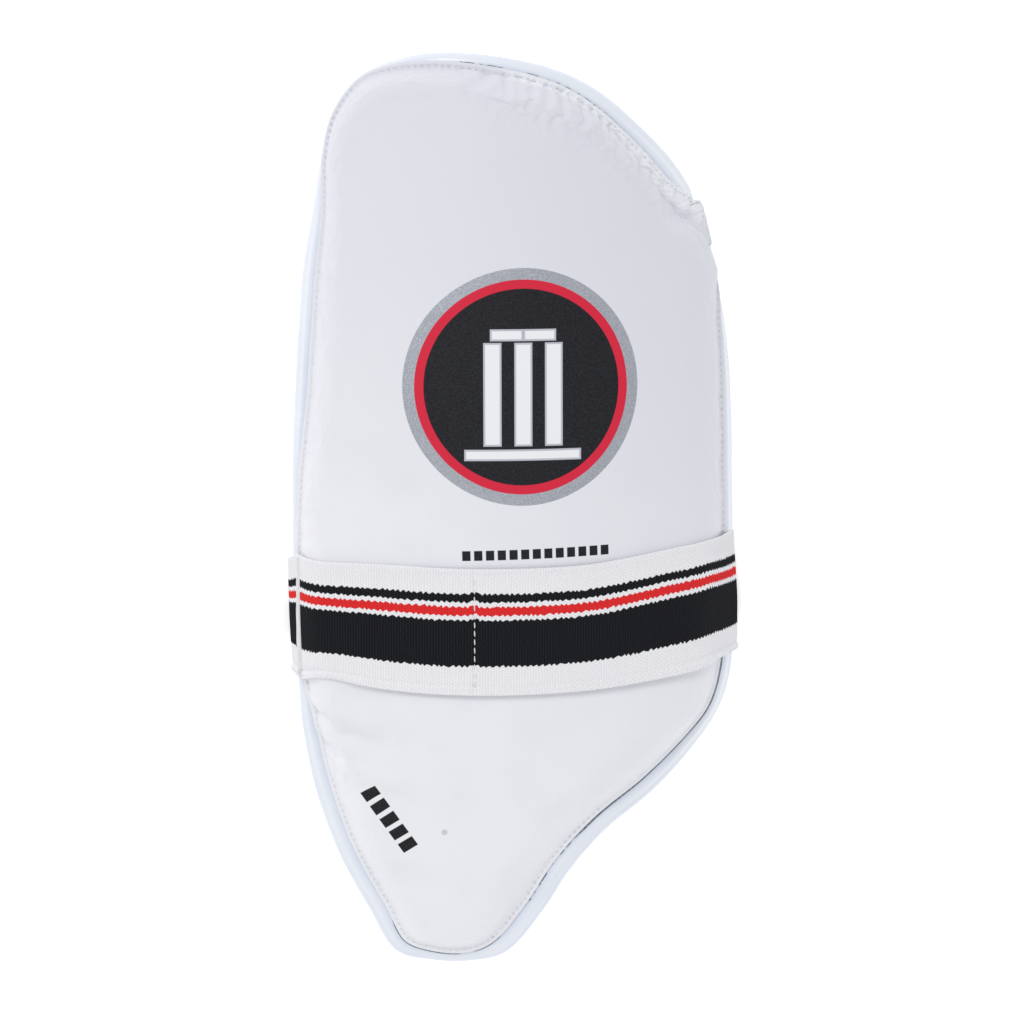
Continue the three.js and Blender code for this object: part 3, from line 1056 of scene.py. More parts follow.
    def tautness(self, stations: Stations, x: np.ndarray, y: np.ndarray, edge: np.ndarray) -> np.ndarray:
        """Gives how little slack the cover has at each point.

        Args:
            stations: Places round the rim.
            x: Places across the pad.
            y: Places along the pad.
            edge: Distance of each point from the cover's edge.

        Returns:
            Weights from 0 to 1, where 1 has no slack.
        """
        loose = 0.12 + 0.88 * band(stations.arc, *self.loose_round)[:, None]
        loose = np.maximum(loose, 0.75 * band(y, *self.loose_left) * smooth(-x, 20.0, 60.0))
        return 1.0 - loose * (1.0 - smooth(edge, 10.0, 30.0))

    def build(self, shop: Workshop) -> bpy.types.Object:
        """Makes the panel as one closed body.

        Args:
            shop: Maker of the mesh.

        Returns:
            The object.
        """
        outer, stations = self.shape(shop)
        rings = np.moveaxis(outer, 0, 1)
        line = self.SEAM_RINGS.index(self.seam_line)
        self.seam = np.vstack([rings[line], rings[line, :1]])
        across = rings[line + 1] - rings[line - 1]
        along = np.roll(rings[line], -1, axis=0) - np.roll(rings[line], 1, axis=0)
        up = unit(np.cross(across, along))
        up *= np.sign(up[:, 2:])
        self.seam_up = np.vstack([up, up[:1]])
        shares = np.linspace(0.0, 1.0, self.under_rings + 1) ** 2.2
        hang = self.overhang[:, None]
        plan, stops = self.shell.inward(
            stations, stations.inset, lambda reach: shares * (reach[:, None] + hang) - hang,
        )
        below = np.moveaxis(self.shell.over(plan, self.floor(stations, stops)), 0, 1)
        wall = rings[:1] * 0.5 + below[:1] * 0.5 + (stations.outward * 0.22)[None]
        marked = np.moveaxis(self.crumple, 0, 1)
        plain = np.zeros((len(below) + 1, stations.count))
        skin = np.concatenate([rings[::-1], wall, below])
        marks = {"crumple": np.concatenate([marked[::-1], plain])}
        return shop.rings("front_panel_cover", skin, False, marks=marks)

    def sew(self, shop: Workshop, thread: Thread) -> bpy.types.Object:
        """Lays the running seam along the panel's edge.

        Args:
            shop: Maker of the mesh.
            thread: The thread that it is sewn with.

        Returns:
            The object.
        """
        starts, ends, up, middles = along_loop(self.seam, self.seam_up, self.seam_pitch, 0.72)
        seen = self.hidden_seam(middles) < 0.5
        return thread.sew(shop, "cover_seam_thread", starts[seen], ends[seen], up[seen])


@dataclass
class EdgeTape:
    """Glossy tape folded round the rim, over a soft bead."""

    shell: Shell
    levels: int = 480
    radius: float = 3.6
    wall: float = 1.2
    leg: float = 8.5
    leg_steps: int = 9
    arc_steps: int = 16
    seam_line: float = 6.6
    seam_pitch: float = 3.4
    tucked: Span = (118.0, 134.0, 5.0)
    tucked_by: float = 0.26
    plan: np.ndarray = field(init=False)
    inner: np.ndarray = field(init=False)
    skin: np.ndarray = field(init=False)

    def section(self) -> np.ndarray:
        """Draws the tape square to the rim: outward first, then square to the shell."""
        inside = self.radius - self.wall
        turn = np.linspace(np.pi / 2, -np.pi / 2, self.arc_steps + 1)
        back = np.linspace(-np.pi / 2, np.pi / 2, 7)
        leg = np.linspace(-self.leg, 0.0, self.leg_steps + 1)[:-1]
        return np.vstack([
            np.column_stack([leg, np.full(leg.shape, self.radius)]),
            np.column_stack([np.cos(turn), np.sin(turn)]) * self.radius,
            np.column_stack([leg[::-1], np.full(leg.shape, -self.radius)]),
            np.column_stack([leg[::3], np.full(leg[::3].shape, -inside)]),
            np.column_stack([np.cos(back), np.sin(back)]) * inside,
            np.column_stack([leg[::3][::-1], np.full(leg[::3].shape, inside)]),
        ])

    def build(self, shop: Workshop) -> bpy.types.Object:
        """Makes the tape as one closed tube of its section.

        Args:
            shop: Maker of the mesh.

        Returns:
            The object.
        """
        stations = self.shell.stations(self.levels)
        section = self.section()
        inner = np.unique(-section[section[:, 0] < 0, 0])
        stops = np.repeat(inner[None], stations.count, axis=0)
        plan, _ = self.shell.inward(
            stations, np.zeros(stations.count), lambda reach: np.hstack([stops, reach[:, None]]),
        )
        swell = 0.12 * grain(stations.line, 16.0, 4.4) + 0.05 * grain(stations.line, 4.0, 6.4)
        tucked = band(stations.point[:, 1], *self.tucked) * (stations.point[:, 0] > 0)
        loops, crown = [], []
        for out, over in section:
            across = (out + stations.inset) / (stations.inset + self.radius)
            # The crown mark carries a painted highlight: 1 along the middle of the tape's visible top,
            # falling to 0 at its edges and on the back
            crown.append(np.clip(4.0 * across * (1.0 - across), 0.0, 1.0) if over > 0 else 0.0 * across)
            on_bend = math.hypot(out, over) > self.radius - 0.5 * self.wall
            outer_face = on_bend or abs(over) > self.radius - self.wall
            if out < 0:
                share = np.clip(-out / np.maximum(stations.inset, 1.2), 0.0, 1.0)
                lift = self.shell.crown_lift(np.full(stations.count, -out), stations.inset) * (over > 2.5)
                tuck = 0.3 * bump_of(np.array(-out - self.seam_line), 0.9) * (over < -3.0)
                height = over + lift + tuck + np.sign(over) * swell * (1 - share) * outer_face
                loops.append(self.shell.over(plan[:, np.searchsorted(inner, -out)], height))
                continue
            scale = (1.0 + (swell / self.radius - self.tucked_by * tucked) * outer_face)[:, None]
            loops.append(stations.point + stations.outward * (out * scale) + stations.normal * (over * scale))
        self.plan, self.inner, self.skin = plan, inner, np.array(loops)
        return shop.rings("edge_binding_tape", self.skin, True, marks={"crown": np.array(crown)})

    def sew(self, shop: Workshop, thread: Thread) -> bpy.types.Object:
        """Lays the seam that holds the tape's inner leg, on the back.

        Args:
            shop: Maker of the mesh.
            thread: The thread that it is sewn with.

        Returns:
            The object.
        """
        place = int(np.abs(self.inner - self.seam_line).argmin())
        loop = self.shell.over(self.plan[:, place], -self.radius + 0.25)
        down = -self.shell.normal(self.plan[:, place, 0], self.plan[:, place, 1])
        loop, down = np.vstack([loop, loop[:1]]), np.vstack([down, down[:1]])
        starts, ends, up, _ = along_loop(loop, down, self.seam_pitch, 0.7)
        return thread.sew(shop, "tape_seam_thread", starts, ends, up)


@dataclass
class GapShadowStrip:
    """Painted shadow: a thin dark strip beside the tape, along the panel's edge, standing in for the shade in
    the gap there.
    """

    shell: Shell
    levels: int = 480
    over: float = 3.66
    thick: float = 0.22
    hidden: float = -1.2
    tucked_in: float = 2.6
    right: Span = (-142.0, -62.0, 10.0)
    patchy: Span = (-172.0, -142.0, 6.0)
    tip_left: Span = (-58.0, -28.0, 4.0)
    tip_right: Span = (-20.0, -8.0, 3.0)
    top: Span = (4.0, 112.0, 4.0)
    left: Span = (-150.0, -110.0, 10.0)

    def show(self, stations: Stations) -> np.ndarray:
        """Gives how far the painted shadow strip stands out of the panel's edge.

        Args:
            stations: Places round the rim.

        Returns:
            One length for each station.
        """
        x, y = stations.point[:, 0], stations.point[:, 1]
        breaks = grain(stations.line, 1.7, 9.3)
        lower_right = band(y, *self.right) * (x > 0) * (1.0 + 0.4 * smooth(y, -118.0, -88.0))
        patchy = 0.72 * band(y, *self.patchy) * (x > -10) * smooth(breaks, -0.25, 0.05)
        lower_right = np.maximum(lower_right, patchy)
        tip = band(x, *self.tip_left) * (y < -150)
        tip += 0.8 * band(x, *self.tip_right) * (y < -170)
        top_right = band(stations.arc, *self.top) * smooth(breaks, -0.2, 0.0)
        left = 0.5 * band(y, *self.left) * (x < -60) * smooth(breaks, 0.0, 0.3)
        return lower_right * 1.4 + tip * 0.9 + top_right * 0.55 + left * 0.5

    def build(self, shop: Workshop) -> bpy.types.Object:
        """Makes the painted shadow as a thin closed strip.

        Args:
            shop: Maker of the mesh.

        Returns:
            The object.
        """
        stations = self.shell.stations(self.levels)
        shown = self.show(stations)
        reach_out = self.hidden + (shown - self.hidden) * (shown > 0.02)
        loops = []
        for share, thick in ((0, 1), (0.5, 1), (1, 1), (1, 0), (0.5, 0), (0, 0)):
            inside = stations.inset + self.tucked_in * (1 - share) - reach_out * share
            plan = stations.point[:, :2] - stations.outward[:, :2] * inside[:, None]
            height = self.over + self.thick * thick + self.shell.crown_lift(inside, stations.inset)
            loops.append(self.shell.over(plan, height))
        return shop.rings("panel_underlay_edge", np.array(loops), True)


@dataclass
class BasePad:
    """Soft pad behind the panel, with the lining that faces the thigh."""

    shell: Shell
    levels: int = 420
    edge_half: float = 2.1
    leg_end: float = 8.8
    swell_run: float = 4.5
    top: float = 3.1
    depth: float = 5.0
    rings_each: int = 26

    def build(self, shop: Workshop) -> bpy.types.Object:
        """Makes the pad as one closed body.

        Args:
            shop: Maker of the mesh.

        Returns:
            The object.
        """
        stations = self.shell.stations(self.levels)
        full = self.leg_end + self.swell_run
        rim = np.concatenate([[0.0, 3.0, 6.0], np.linspace(self.leg_end - 0.6, full, 9)])
        shares = np.linspace(0.0, 1.0, self.rings_each + 1)[1:]
        near = np.repeat(rim[None], stations.count, axis=0)
        plan, stops = self.shell.inward(
            stations, np.zeros(stations.count),
            lambda reach: np.hstack([near, full + shares * (reach[:, None] - full)]),
        )
        puff = smooth(stops, self.leg_end - 0.6, full)
        spread = np.stack([plan[..., 0], plan[..., 1], 0 * plan[..., 0]], axis=-1)
        soft = 0.35 * grain(spread, 34.0, 7.7) + 0.12 * grain(spread, 11.0, 2.9)
        upper = self.shell.over(plan, self.edge_half + (self.top - self.edge_half) * puff)
        under = -(self.edge_half + (self.depth - self.edge_half) * puff) + 0.3 * puff + soft * puff
        lower = self.shell.over(plan, under)
        rings = np.concatenate([np.moveaxis(upper, 0, 1)[::-1], np.moveaxis(lower, 0, 1)])
        weave = np.concatenate([np.moveaxis(plan, 0, 1)[::-1], np.moveaxis(plan, 0, 1)])
        weave = np.concatenate([weave, weave[:, :1]], axis=1)
        return shop.rings("base_pad_lining", rings, False, weave)


@dataclass
class Strap:
    """Woven elastic loop round the pad, closed by a joint seam on top and tacked down on the left."""

    shell: Shell
    thickness: float = 1.8
    gap: float = 0.45
    centre: float = 25.0
    joint: float = -25.5
    columns: int = 1640
    directions: int = 1440
    tighten: float = 1.2
    reach: float = 1.6
    hem: float = 3.4
    rib_pitch: float = 1.2
    rib_depth: float = 0.09
    bead_pitch: float = 2.3
    squeeze: float = 0.10
    pinch: float = 0.9
    bow: float = 3.6
    sag: float = 0.3
    extra: float = 1.5
    curl: float = 2.5
    curl_run: float = 9.0
    taper: float = 1.6
    grid: np.ndarray = field(init=False)
    up: np.ndarray = field(init=False)
    length: float = field(init=False)
    places: np.ndarray = field(init=False)

    def section(self) -> tuple[np.ndarray, np.ndarray]:
        """Draws the strap's section.

        Returns:
            Places across the strap, and heights over its inner face, from the outer face's lower hem round.
        """
        bend = self.thickness / 2
        flat = self.shell.strap_width / 2 - bend
        high = flat + self.extra
        outer = np.concatenate([
            np.linspace(-flat, 0.8 + self.hem - flat, 11),
            np.linspace(1.7 + self.hem - flat, high - 2.4, 21),
            np.linspace(high - 1.7, high, 5),
        ])
        self.places = outer
        turn = np.linspace(np.pi / 2, -np.pi / 2, 7)[1:-1]
        inner = np.linspace(high, -flat, 9)
        across = np.concatenate([outer, high + bend * np.cos(turn), inner, -flat - bend * np.cos(turn)])
        over = np.concatenate([
            np.full(outer.shape, 2 * bend), bend + bend * np.sin(turn),
            np.zeros(inner.shape), bend - bend * np.sin(turn),
        ])
        return across, over

    def rise(self, x: np.ndarray) -> np.ndarray:
        """Gives how much nearer the pad's top the strap lies at each side than on the crown."""
        return self.bow * np.square(x / 95.0) - self.sag

    def loop(self, cloud: np.ndarray, place: float) -> tuple[np.ndarray, np.ndarray, float]:
        """Finds the tightest loop round the padding at one place across the strap.

        Args:
            cloud: Points of everything that the strap holds.
            place: Distance from the strap's middle line.

        Returns:
            Points across and up, the direction that each faces, and the loop's length.
        """
        away = self.shell.from_strap(cloud[:, 0], cloud[:, 1]) - self.rise(cloud[:, 0]) - place
        near = np.abs(away) < self.reach
        held = cloud[near][:, (0, 2)] - (0.0, self.centre)
        step = 2 * np.pi / self.directions
        angle = np.pi / 2 - step * np.arange(self.directions + 1)
        facing = np.column_stack([np.cos(angle), np.sin(angle)])
        support = (held @ facing[:-1].T).max(axis=0)
        turns = np.minimum(np.arange(self.directions), self.directions - np.arange(self.directions))
        kernel = bump_of(turns * step, math.sqrt(2.0) * math.radians(self.tighten))
        support = np.fft.ifft(np.fft.fft(support) * np.fft.fft(kernel / kernel.sum())).real
        slope = (np.roll(support, 1) - np.roll(support, -1)) / (2 * step)
        support, slope = np.append(support, support[0]), np.append(slope, slope[0])
        tangent = np.column_stack([-facing[:, 1], facing[:, 0]])
        path = facing * support[:, None] + tangent * slope[:, None] + (0.0, self.centre)
        path[:, 1] = np.maximum(path[:, 1], self.gap + self.thickness)
        body = path + facing * (self.gap + self.thickness / 2)
        arc = travelled(body)
        crossing = (path[:-1, 0] < self.joint) & (path[1:, 0] >= self.joint) & (path[:-1, 1] > self.centre)
        hit = int(np.flatnonzero(crossing)[0])
        share = (self.joint - path[hit, 0]) / (path[hit + 1, 0] - path[hit, 0])
        start = arc[hit] + share * (arc[hit + 1] - arc[hit])
        at = (start + arc[-1] * np.arange(self.columns) / self.columns) % arc[-1]
        return read(at, arc, path), np.interp(at, arc, angle), float(arc[-1])

    def relief(self, along: np.ndarray, place: float) -> np.ndarray:
        """Raises the ribs, the rolled hem with its row of beads, and the joint seam.

        Args:
            along: Distance of each column from the joint.
            place: Distance of the row from the strap's middle line.

        Returns:
            Height to add at each column.
        """
        half = self.shell.strap_width / 2
        ribs = self.rib_depth * np.cos(2 * np.pi * along * round(self.length / self.rib_pitch) / self.length)
        from_hem = place + half
        rolled = math.sin(math.pi * min(max(from_hem / self.hem, 0.0), 1.0))
        beads = round(self.length / self.bead_pitch) / self.length
        lower = 0.5 * rolled ** 0.7 + 0.2 * rolled * np.cos(2 * np.pi * (along * beads + place / 2.8))
        fold = -0.38 * math.exp(-((from_hem - self.hem - 0.5) / 0.6) ** 2)
        fold -= 0.16 * math.exp(-((half + self.extra - place - 2.6) / 0.5) ** 2)
        seam = np.minimum(along, self.length - along)
        joint = 0.3 * bump_of(seam - 2.3, 1.3) - 0.55 * bump_of(seam, 0.8)
        return ribs * (1 - rolled) + lower + fold + joint

    def lie(self, x: np.ndarray, z: np.ndarray, place: float) -> np.ndarray:
        """Finds where a row of the strap lies along the pad, with its sag and its drawn-in left end.

        Args:
            x: Places across the pad.
            z: Heights over the floor.
            place: Distance of the row from the strap's middle line.

        Returns:
            Distances from the straight line that the strap is laid along.
        """
        left = (1.0 - smooth(z, 7.0, 20.0)) * smooth(-x, 84.0, 96.0)
        tail = smooth(-x, 84.0, 98.0) * (0.35 - 0.03 * place) + left
        tail += 0.06 * max(place, 0.0) * smooth(-x, 50.0, 95.0)
        tail += 0.2 * max(-place - 13.0, 0.0) * smooth(-x, 90.0, 97.0)
        low = 0.9 * bump_of(x + 72.0, 24.0)
        low += 1.8 * bump_of(x + 86.0, 15.0) * min(max(-place / 26.0, 0.0), 1.0)
        right = smooth(x, 15.0, 70.0) * (1.0 - smooth(x, 78.0, 101.0))
        low += right * (3.2 - 0.0016 * (place - 10.0) ** 2)
        return place * (1.0 - self.squeeze * left) + self.rise(x) - tail + low

    def build(self, shop: Workshop, cloud: np.ndarray) -> bpy.types.Object:
        """Makes the strap as one closed ring of its section.

        Args:
            shop: Maker of the mesh.
            cloud: Points of everything that the strap holds.

        Returns:
            The object, with its place on the weave in its UV map.
        """
        across, over = self.section()
        loops = {place: self.loop(cloud, place) for place in np.unique(across)}
        self.length = float(np.mean([length for _, _, length in loops.values()]))
        along = self.length * np.arange(self.columns + 1) / self.columns
        seam = np.minimum(along, self.length - along)
        rings, facings, weave = [], [], []
        for place, height in zip(across, over):
            path, angle, _ = loops[place]
            facing = np.column_stack([np.cos(angle), np.sin(angle)])
            from_hem = place + self.shell.strap_width / 2
            top = smooth(path[:, 1], 22.0, 42.0) * smooth(path[:, 0], -88.0, -70.0)
            lift = self.curl * max(1.0 - from_hem / self.curl_run, 0.0) ** 2 * top
            if height > self.thickness / 2:
                lift = lift + self.relief(along[:-1], place)
            spot = path + facing * (self.gap + height + lift)[:, None]
            spot[:, 1] = np.maximum(spot[:, 1], max(self.thickness - height, 0.0))
            spot[:, 0] -= self.taper * smooth(np.array(place), -8.0, 26.0) * smooth(spot[:, 0], 86.0, 98.0)
            row = self.lie(spot[:, 0], spot[:, 1], place)
            y = self.shell.strap_place + self.shell.tilt_slope * spot[:, 0] + row
            rings.append(np.column_stack([spot[:, 0], y, spot[:, 1]]))
            facings.append(np.column_stack([facing[:, 0], 0 * y, facing[:, 1]]))
            weave.append(np.column_stack([along, place - self.pinch * bump_of(seam, 1.7)]))
        self.grid = np.array(rings[:len(self.places)])
        self.up = np.array(facings[:len(self.places)])
        weave.append(weave[0])
        return shop.rings("woven_strap", np.array(rings), True, np.array(weave))

    def at(self, along: np.ndarray, place: np.ndarray) -> tuple[np.ndarray, np.ndarray]:
        """Finds points and normals of the outer face.

        Args:
            along: Distances from the joint.
            place: Distances from the middle line.

        Returns:
            The points and the normals there.
        """
        column = along / self.length * self.columns
        left = np.floor(column).astype(int)
        row = np.clip(np.interp(place, self.places, np.arange(len(self.places))), 0, len(self.places) - 1.001)
        low = np.floor(row).astype(int)
        beside, rest = (column - left)[:, None], (row - low)[:, None]
        left, right = left % self.columns, (left + 1) % self.columns
        point = (self.grid[low, left] * (1 - beside) + self.grid[low, right] * beside) * (1 - rest)
        point += (self.grid[low + 1, left] * (1 - beside) + self.grid[low + 1, right] * beside) * rest
        return point, self.up[low, left]

    def sew_joint(self, shop: Workshop) -> bpy.types.Object:
        """Lays the pale stitches of the joint seam across the dark stripes.

        Args:
            shop: Maker of the mesh.

        Returns:
            The object.
        """
        middles = np.linspace(-22.0, 22.0, 13)
        sway = 0.25 * np.sin(middles * 1.7)
        starts, up = self.at(sway, middles - 1.35)
        ends, _ = self.at(sway - 0.15, middles + 1.35)
        return Thread(radius=0.3, arch=0.2, sink=0.15).sew(shop, "strap_joint_thread", starts, ends, up)

    def sew_tack(self, shop: Workshop) -> bpy.types.Object:
        """Lays the dense satin seam that holds the strap to the pad's left side.

        Args:
            shop: Maker of the mesh.

        Returns:
            The object.
        """
        middle = self.grid[len(self.places) // 2]
        away = np.hypot(middle[:, 0] + 97.5, middle[:, 2] - 19.0)
        along = float(away.argmin()) / self.columns * self.length
        place = np.linspace(-25.4, 26.8, 92)
        lean = 0.05 * place
        ragged = 0.12 * np.sin(place * 5.3)
        starts, up = self.at(along - 1.7 - 0.035 * (26.0 - place) + lean + ragged, place)
        ends, _ = self.at(along + 1.7 + 0.02 * (26.0 - place) + lean - ragged, place + 0.12)
        return Thread(radius=0.38, arch=0.42, sink=0.1).sew(shop, "strap_tack_thread", starts, ends, up)


class Sock:
    """An output of a shader node that takes part in sums."""

    def __init__(self, paint: "Paint", out: bpy.types.NodeSocket | None) -> None:
        """Keeps the output and the node tree that it belongs to."""
        self.paint, self.out = paint, out

    def __add__(self, other: "Amount") -> "Sock":
        """Adds."""
        return self.paint.maths("ADD", self, other)

    def __radd__(self, other: "Amount") -> "Sock":
        """Adds to a number."""
        return self.paint.maths("ADD", other, self)

    def __sub__(self, other: "Amount") -> "Sock":
        """Takes away."""
        return self.paint.maths("SUBTRACT", self, other)

    def __rsub__(self, other: "Amount") -> "Sock":
        """Takes this from a number."""
        return self.paint.maths("SUBTRACT", other, self)

    def __mul__(self, other: "Amount") -> "Sock":
        """Multiplies."""
        return self.paint.maths("MULTIPLY", self, other)

    def __rmul__(self, other: "Amount") -> "Sock":
        """Multiplies a number."""
        return self.paint.maths("MULTIPLY", other, self)

    def __truediv__(self, other: "Amount") -> "Sock":
        """Divides."""
        return self.paint.maths("DIVIDE", self, other)

    def __abs__(self) -> "Sock":
        """Drops the sign."""
        return self.paint.maths("ABSOLUTE", self)

    def least(self, other: "Amount") -> "Sock":
        """Takes the smaller of the two."""
        return self.paint.maths("MINIMUM", self, other)

    def most(self, other: "Amount") -> "Sock":
        """Takes the larger of the two."""
        return self.paint.maths("MAXIMUM", self, other)

    def root(self) -> "Sock":
        """Takes the square root."""
        return self.paint.maths("SQRT", self)

    def part(self) -> "Sock":
        """Keeps what follows the decimal point."""
        return self.paint.maths("FRACT", self)

    def wave(self) -> "Sock":
        """Takes the sine of this many turns."""
        return self.paint.maths("SINE", self * (2 * math.pi))

    def zigzag(self) -> "Sock":
        """Gives a triangle wave from -1 to 1, one for each whole number."""
        return abs(self.part() - 0.5) * 4.0 - 1.0

    def eased(self, low: float, high: float) -> "Sock":
        """Eases from 0 at low to 1 at high."""
        limits = {"Value": self, "From Min": low, "From Max": high}
        return self.paint.node("ShaderNodeMapRange", {"interpolation_type": "SMOOTHSTEP"}, limits, "Result")


Amount = float | Sock
Colour = tuple[float, float, float]


class Paint:
    """A material under construction."""

    def __init__(self, name: str) -> None:
        """Starts an empty material.

        Args:
            name: Name of the material.
        """
        self.material = bpy.data.materials.new(name)
        self.material.use_nodes = True
        self.tree = self.material.node_tree
        self.tree.nodes.clear()

    def node(
        self, kind: str, settings: Mapping[str, object], inputs: Mapping[str | int, object],
        output: str | int = 0,
    ) -> Sock:
        """Adds a node and plugs it in.

        Args:
            kind: Type of the node.
            settings: Properties to set before the inputs.
            inputs: A number, colour or output for each input.
            output: Which output to hand back.

        Returns:
            That output, which is empty for a node without any.
        """
        made = self.tree.nodes.new(kind)
        for name, value in settings.items():
            setattr(made, name, value)
        for key, value in inputs.items():
            if isinstance(value, Sock):
                self.tree.links.new(value.out, made.inputs[key])
            else:
                made.inputs[key].default_value = (*value, 1.0) if isinstance(value, tuple) else value
        return Sock(self, made.outputs[output] if len(made.outputs) else None)

    def maths(self, operation: str, *values: Amount) -> Sock:
        """Combines numbers."""
        return self.node("ShaderNodeMath", {"operation": operation}, dict(enumerate(values)))

    def mix(self, share: Amount, first: Colour | Sock, second: Colour | Sock) -> Sock:
        """Blends from the first colour to the second."""
        return self.node("ShaderNodeMix", {"data_type": "RGBA"}, {0: share, 6: first, 7: second}, 2)

    def blend(self, share: Amount, first: Amount, second: Amount) -> Sock:
        """Blends from the first number to the second."""
        return self.node("ShaderNodeMix", {"data_type": "FLOAT"}, {0: share, 2: first, 3: second}, 0)

    def axes(self, place: Sock, names: str) -> tuple[Sock, ...]:
        """Splits a place into its numbers in millimetres, one for each axis named."""
        split = [self.node("ShaderNodeSeparateXYZ", {}, {"Vector": place}, axis) for axis in names]
        return tuple(axis * (1 / MM) for axis in split)

    def spot(self) -> tuple[Sock, ...]:
        """Reads the place on the object, in millimetres."""
        return self.axes(self.node("ShaderNodeTexCoord", {}, {}, "Object"), "XYZ")

    def weave(self) -> tuple[Sock, ...]:
        """Reads the place on the cloth, in millimetres."""
        return self.axes(self.node("ShaderNodeUVMap", {"uv_map": "weave"}, {}, "UV"), "XY")

    def noise(self, size: float, detail: float = 2.0, roughness: float = 0.5) -> Sock:
        """Reads noise from 0 to 1 whose swells are about this many millimetres."""
        place = self.node("ShaderNodeTexCoord", {}, {}, "Object")
        inputs = {"Vector": place, "Scale": 1.0 / (size * MM), "Detail": detail, "Roughness": roughness}
        return self.node("ShaderNodeTexNoise", {}, inputs, "Fac")

    def mark(self, name: str) -> Sock:
        """Reads a number that the mesh carries."""
        return self.node("ShaderNodeAttribute", {"attribute_name": name}, {}, "Fac")

    def bump(self, height: Sock, depth: float) -> Sock:
        """Turns a height from 0 to 1 into a normal; depth is in millimetres."""
        return self.node("ShaderNodeBump", {}, {"Height": height, "Strength": 1.0, "Distance": depth * MM})

    def surface(self, **inputs: object) -> bpy.types.Material:
        """Closes the material with a principled surface.

        Args:
            inputs: Its inputs, with underscores for spaces.

        Returns:
            The finished material.
        """
        named = {name.replace("_", " "): value for name, value in inputs.items()}
        shader = self.node("ShaderNodeBsdfPrincipled", {}, named)
        self.node("ShaderNodeOutputMaterial", {}, {"Surface": shader})
        return self.material


@dataclass(frozen=True)
class BarRow:
    """A row of plain bars: its start, turn in degrees, pitch, half a bar's width and height, and length."""

    x: float
    y: float
    turn: float
    pitch: float
    half: tuple[float, float]
    reach: float


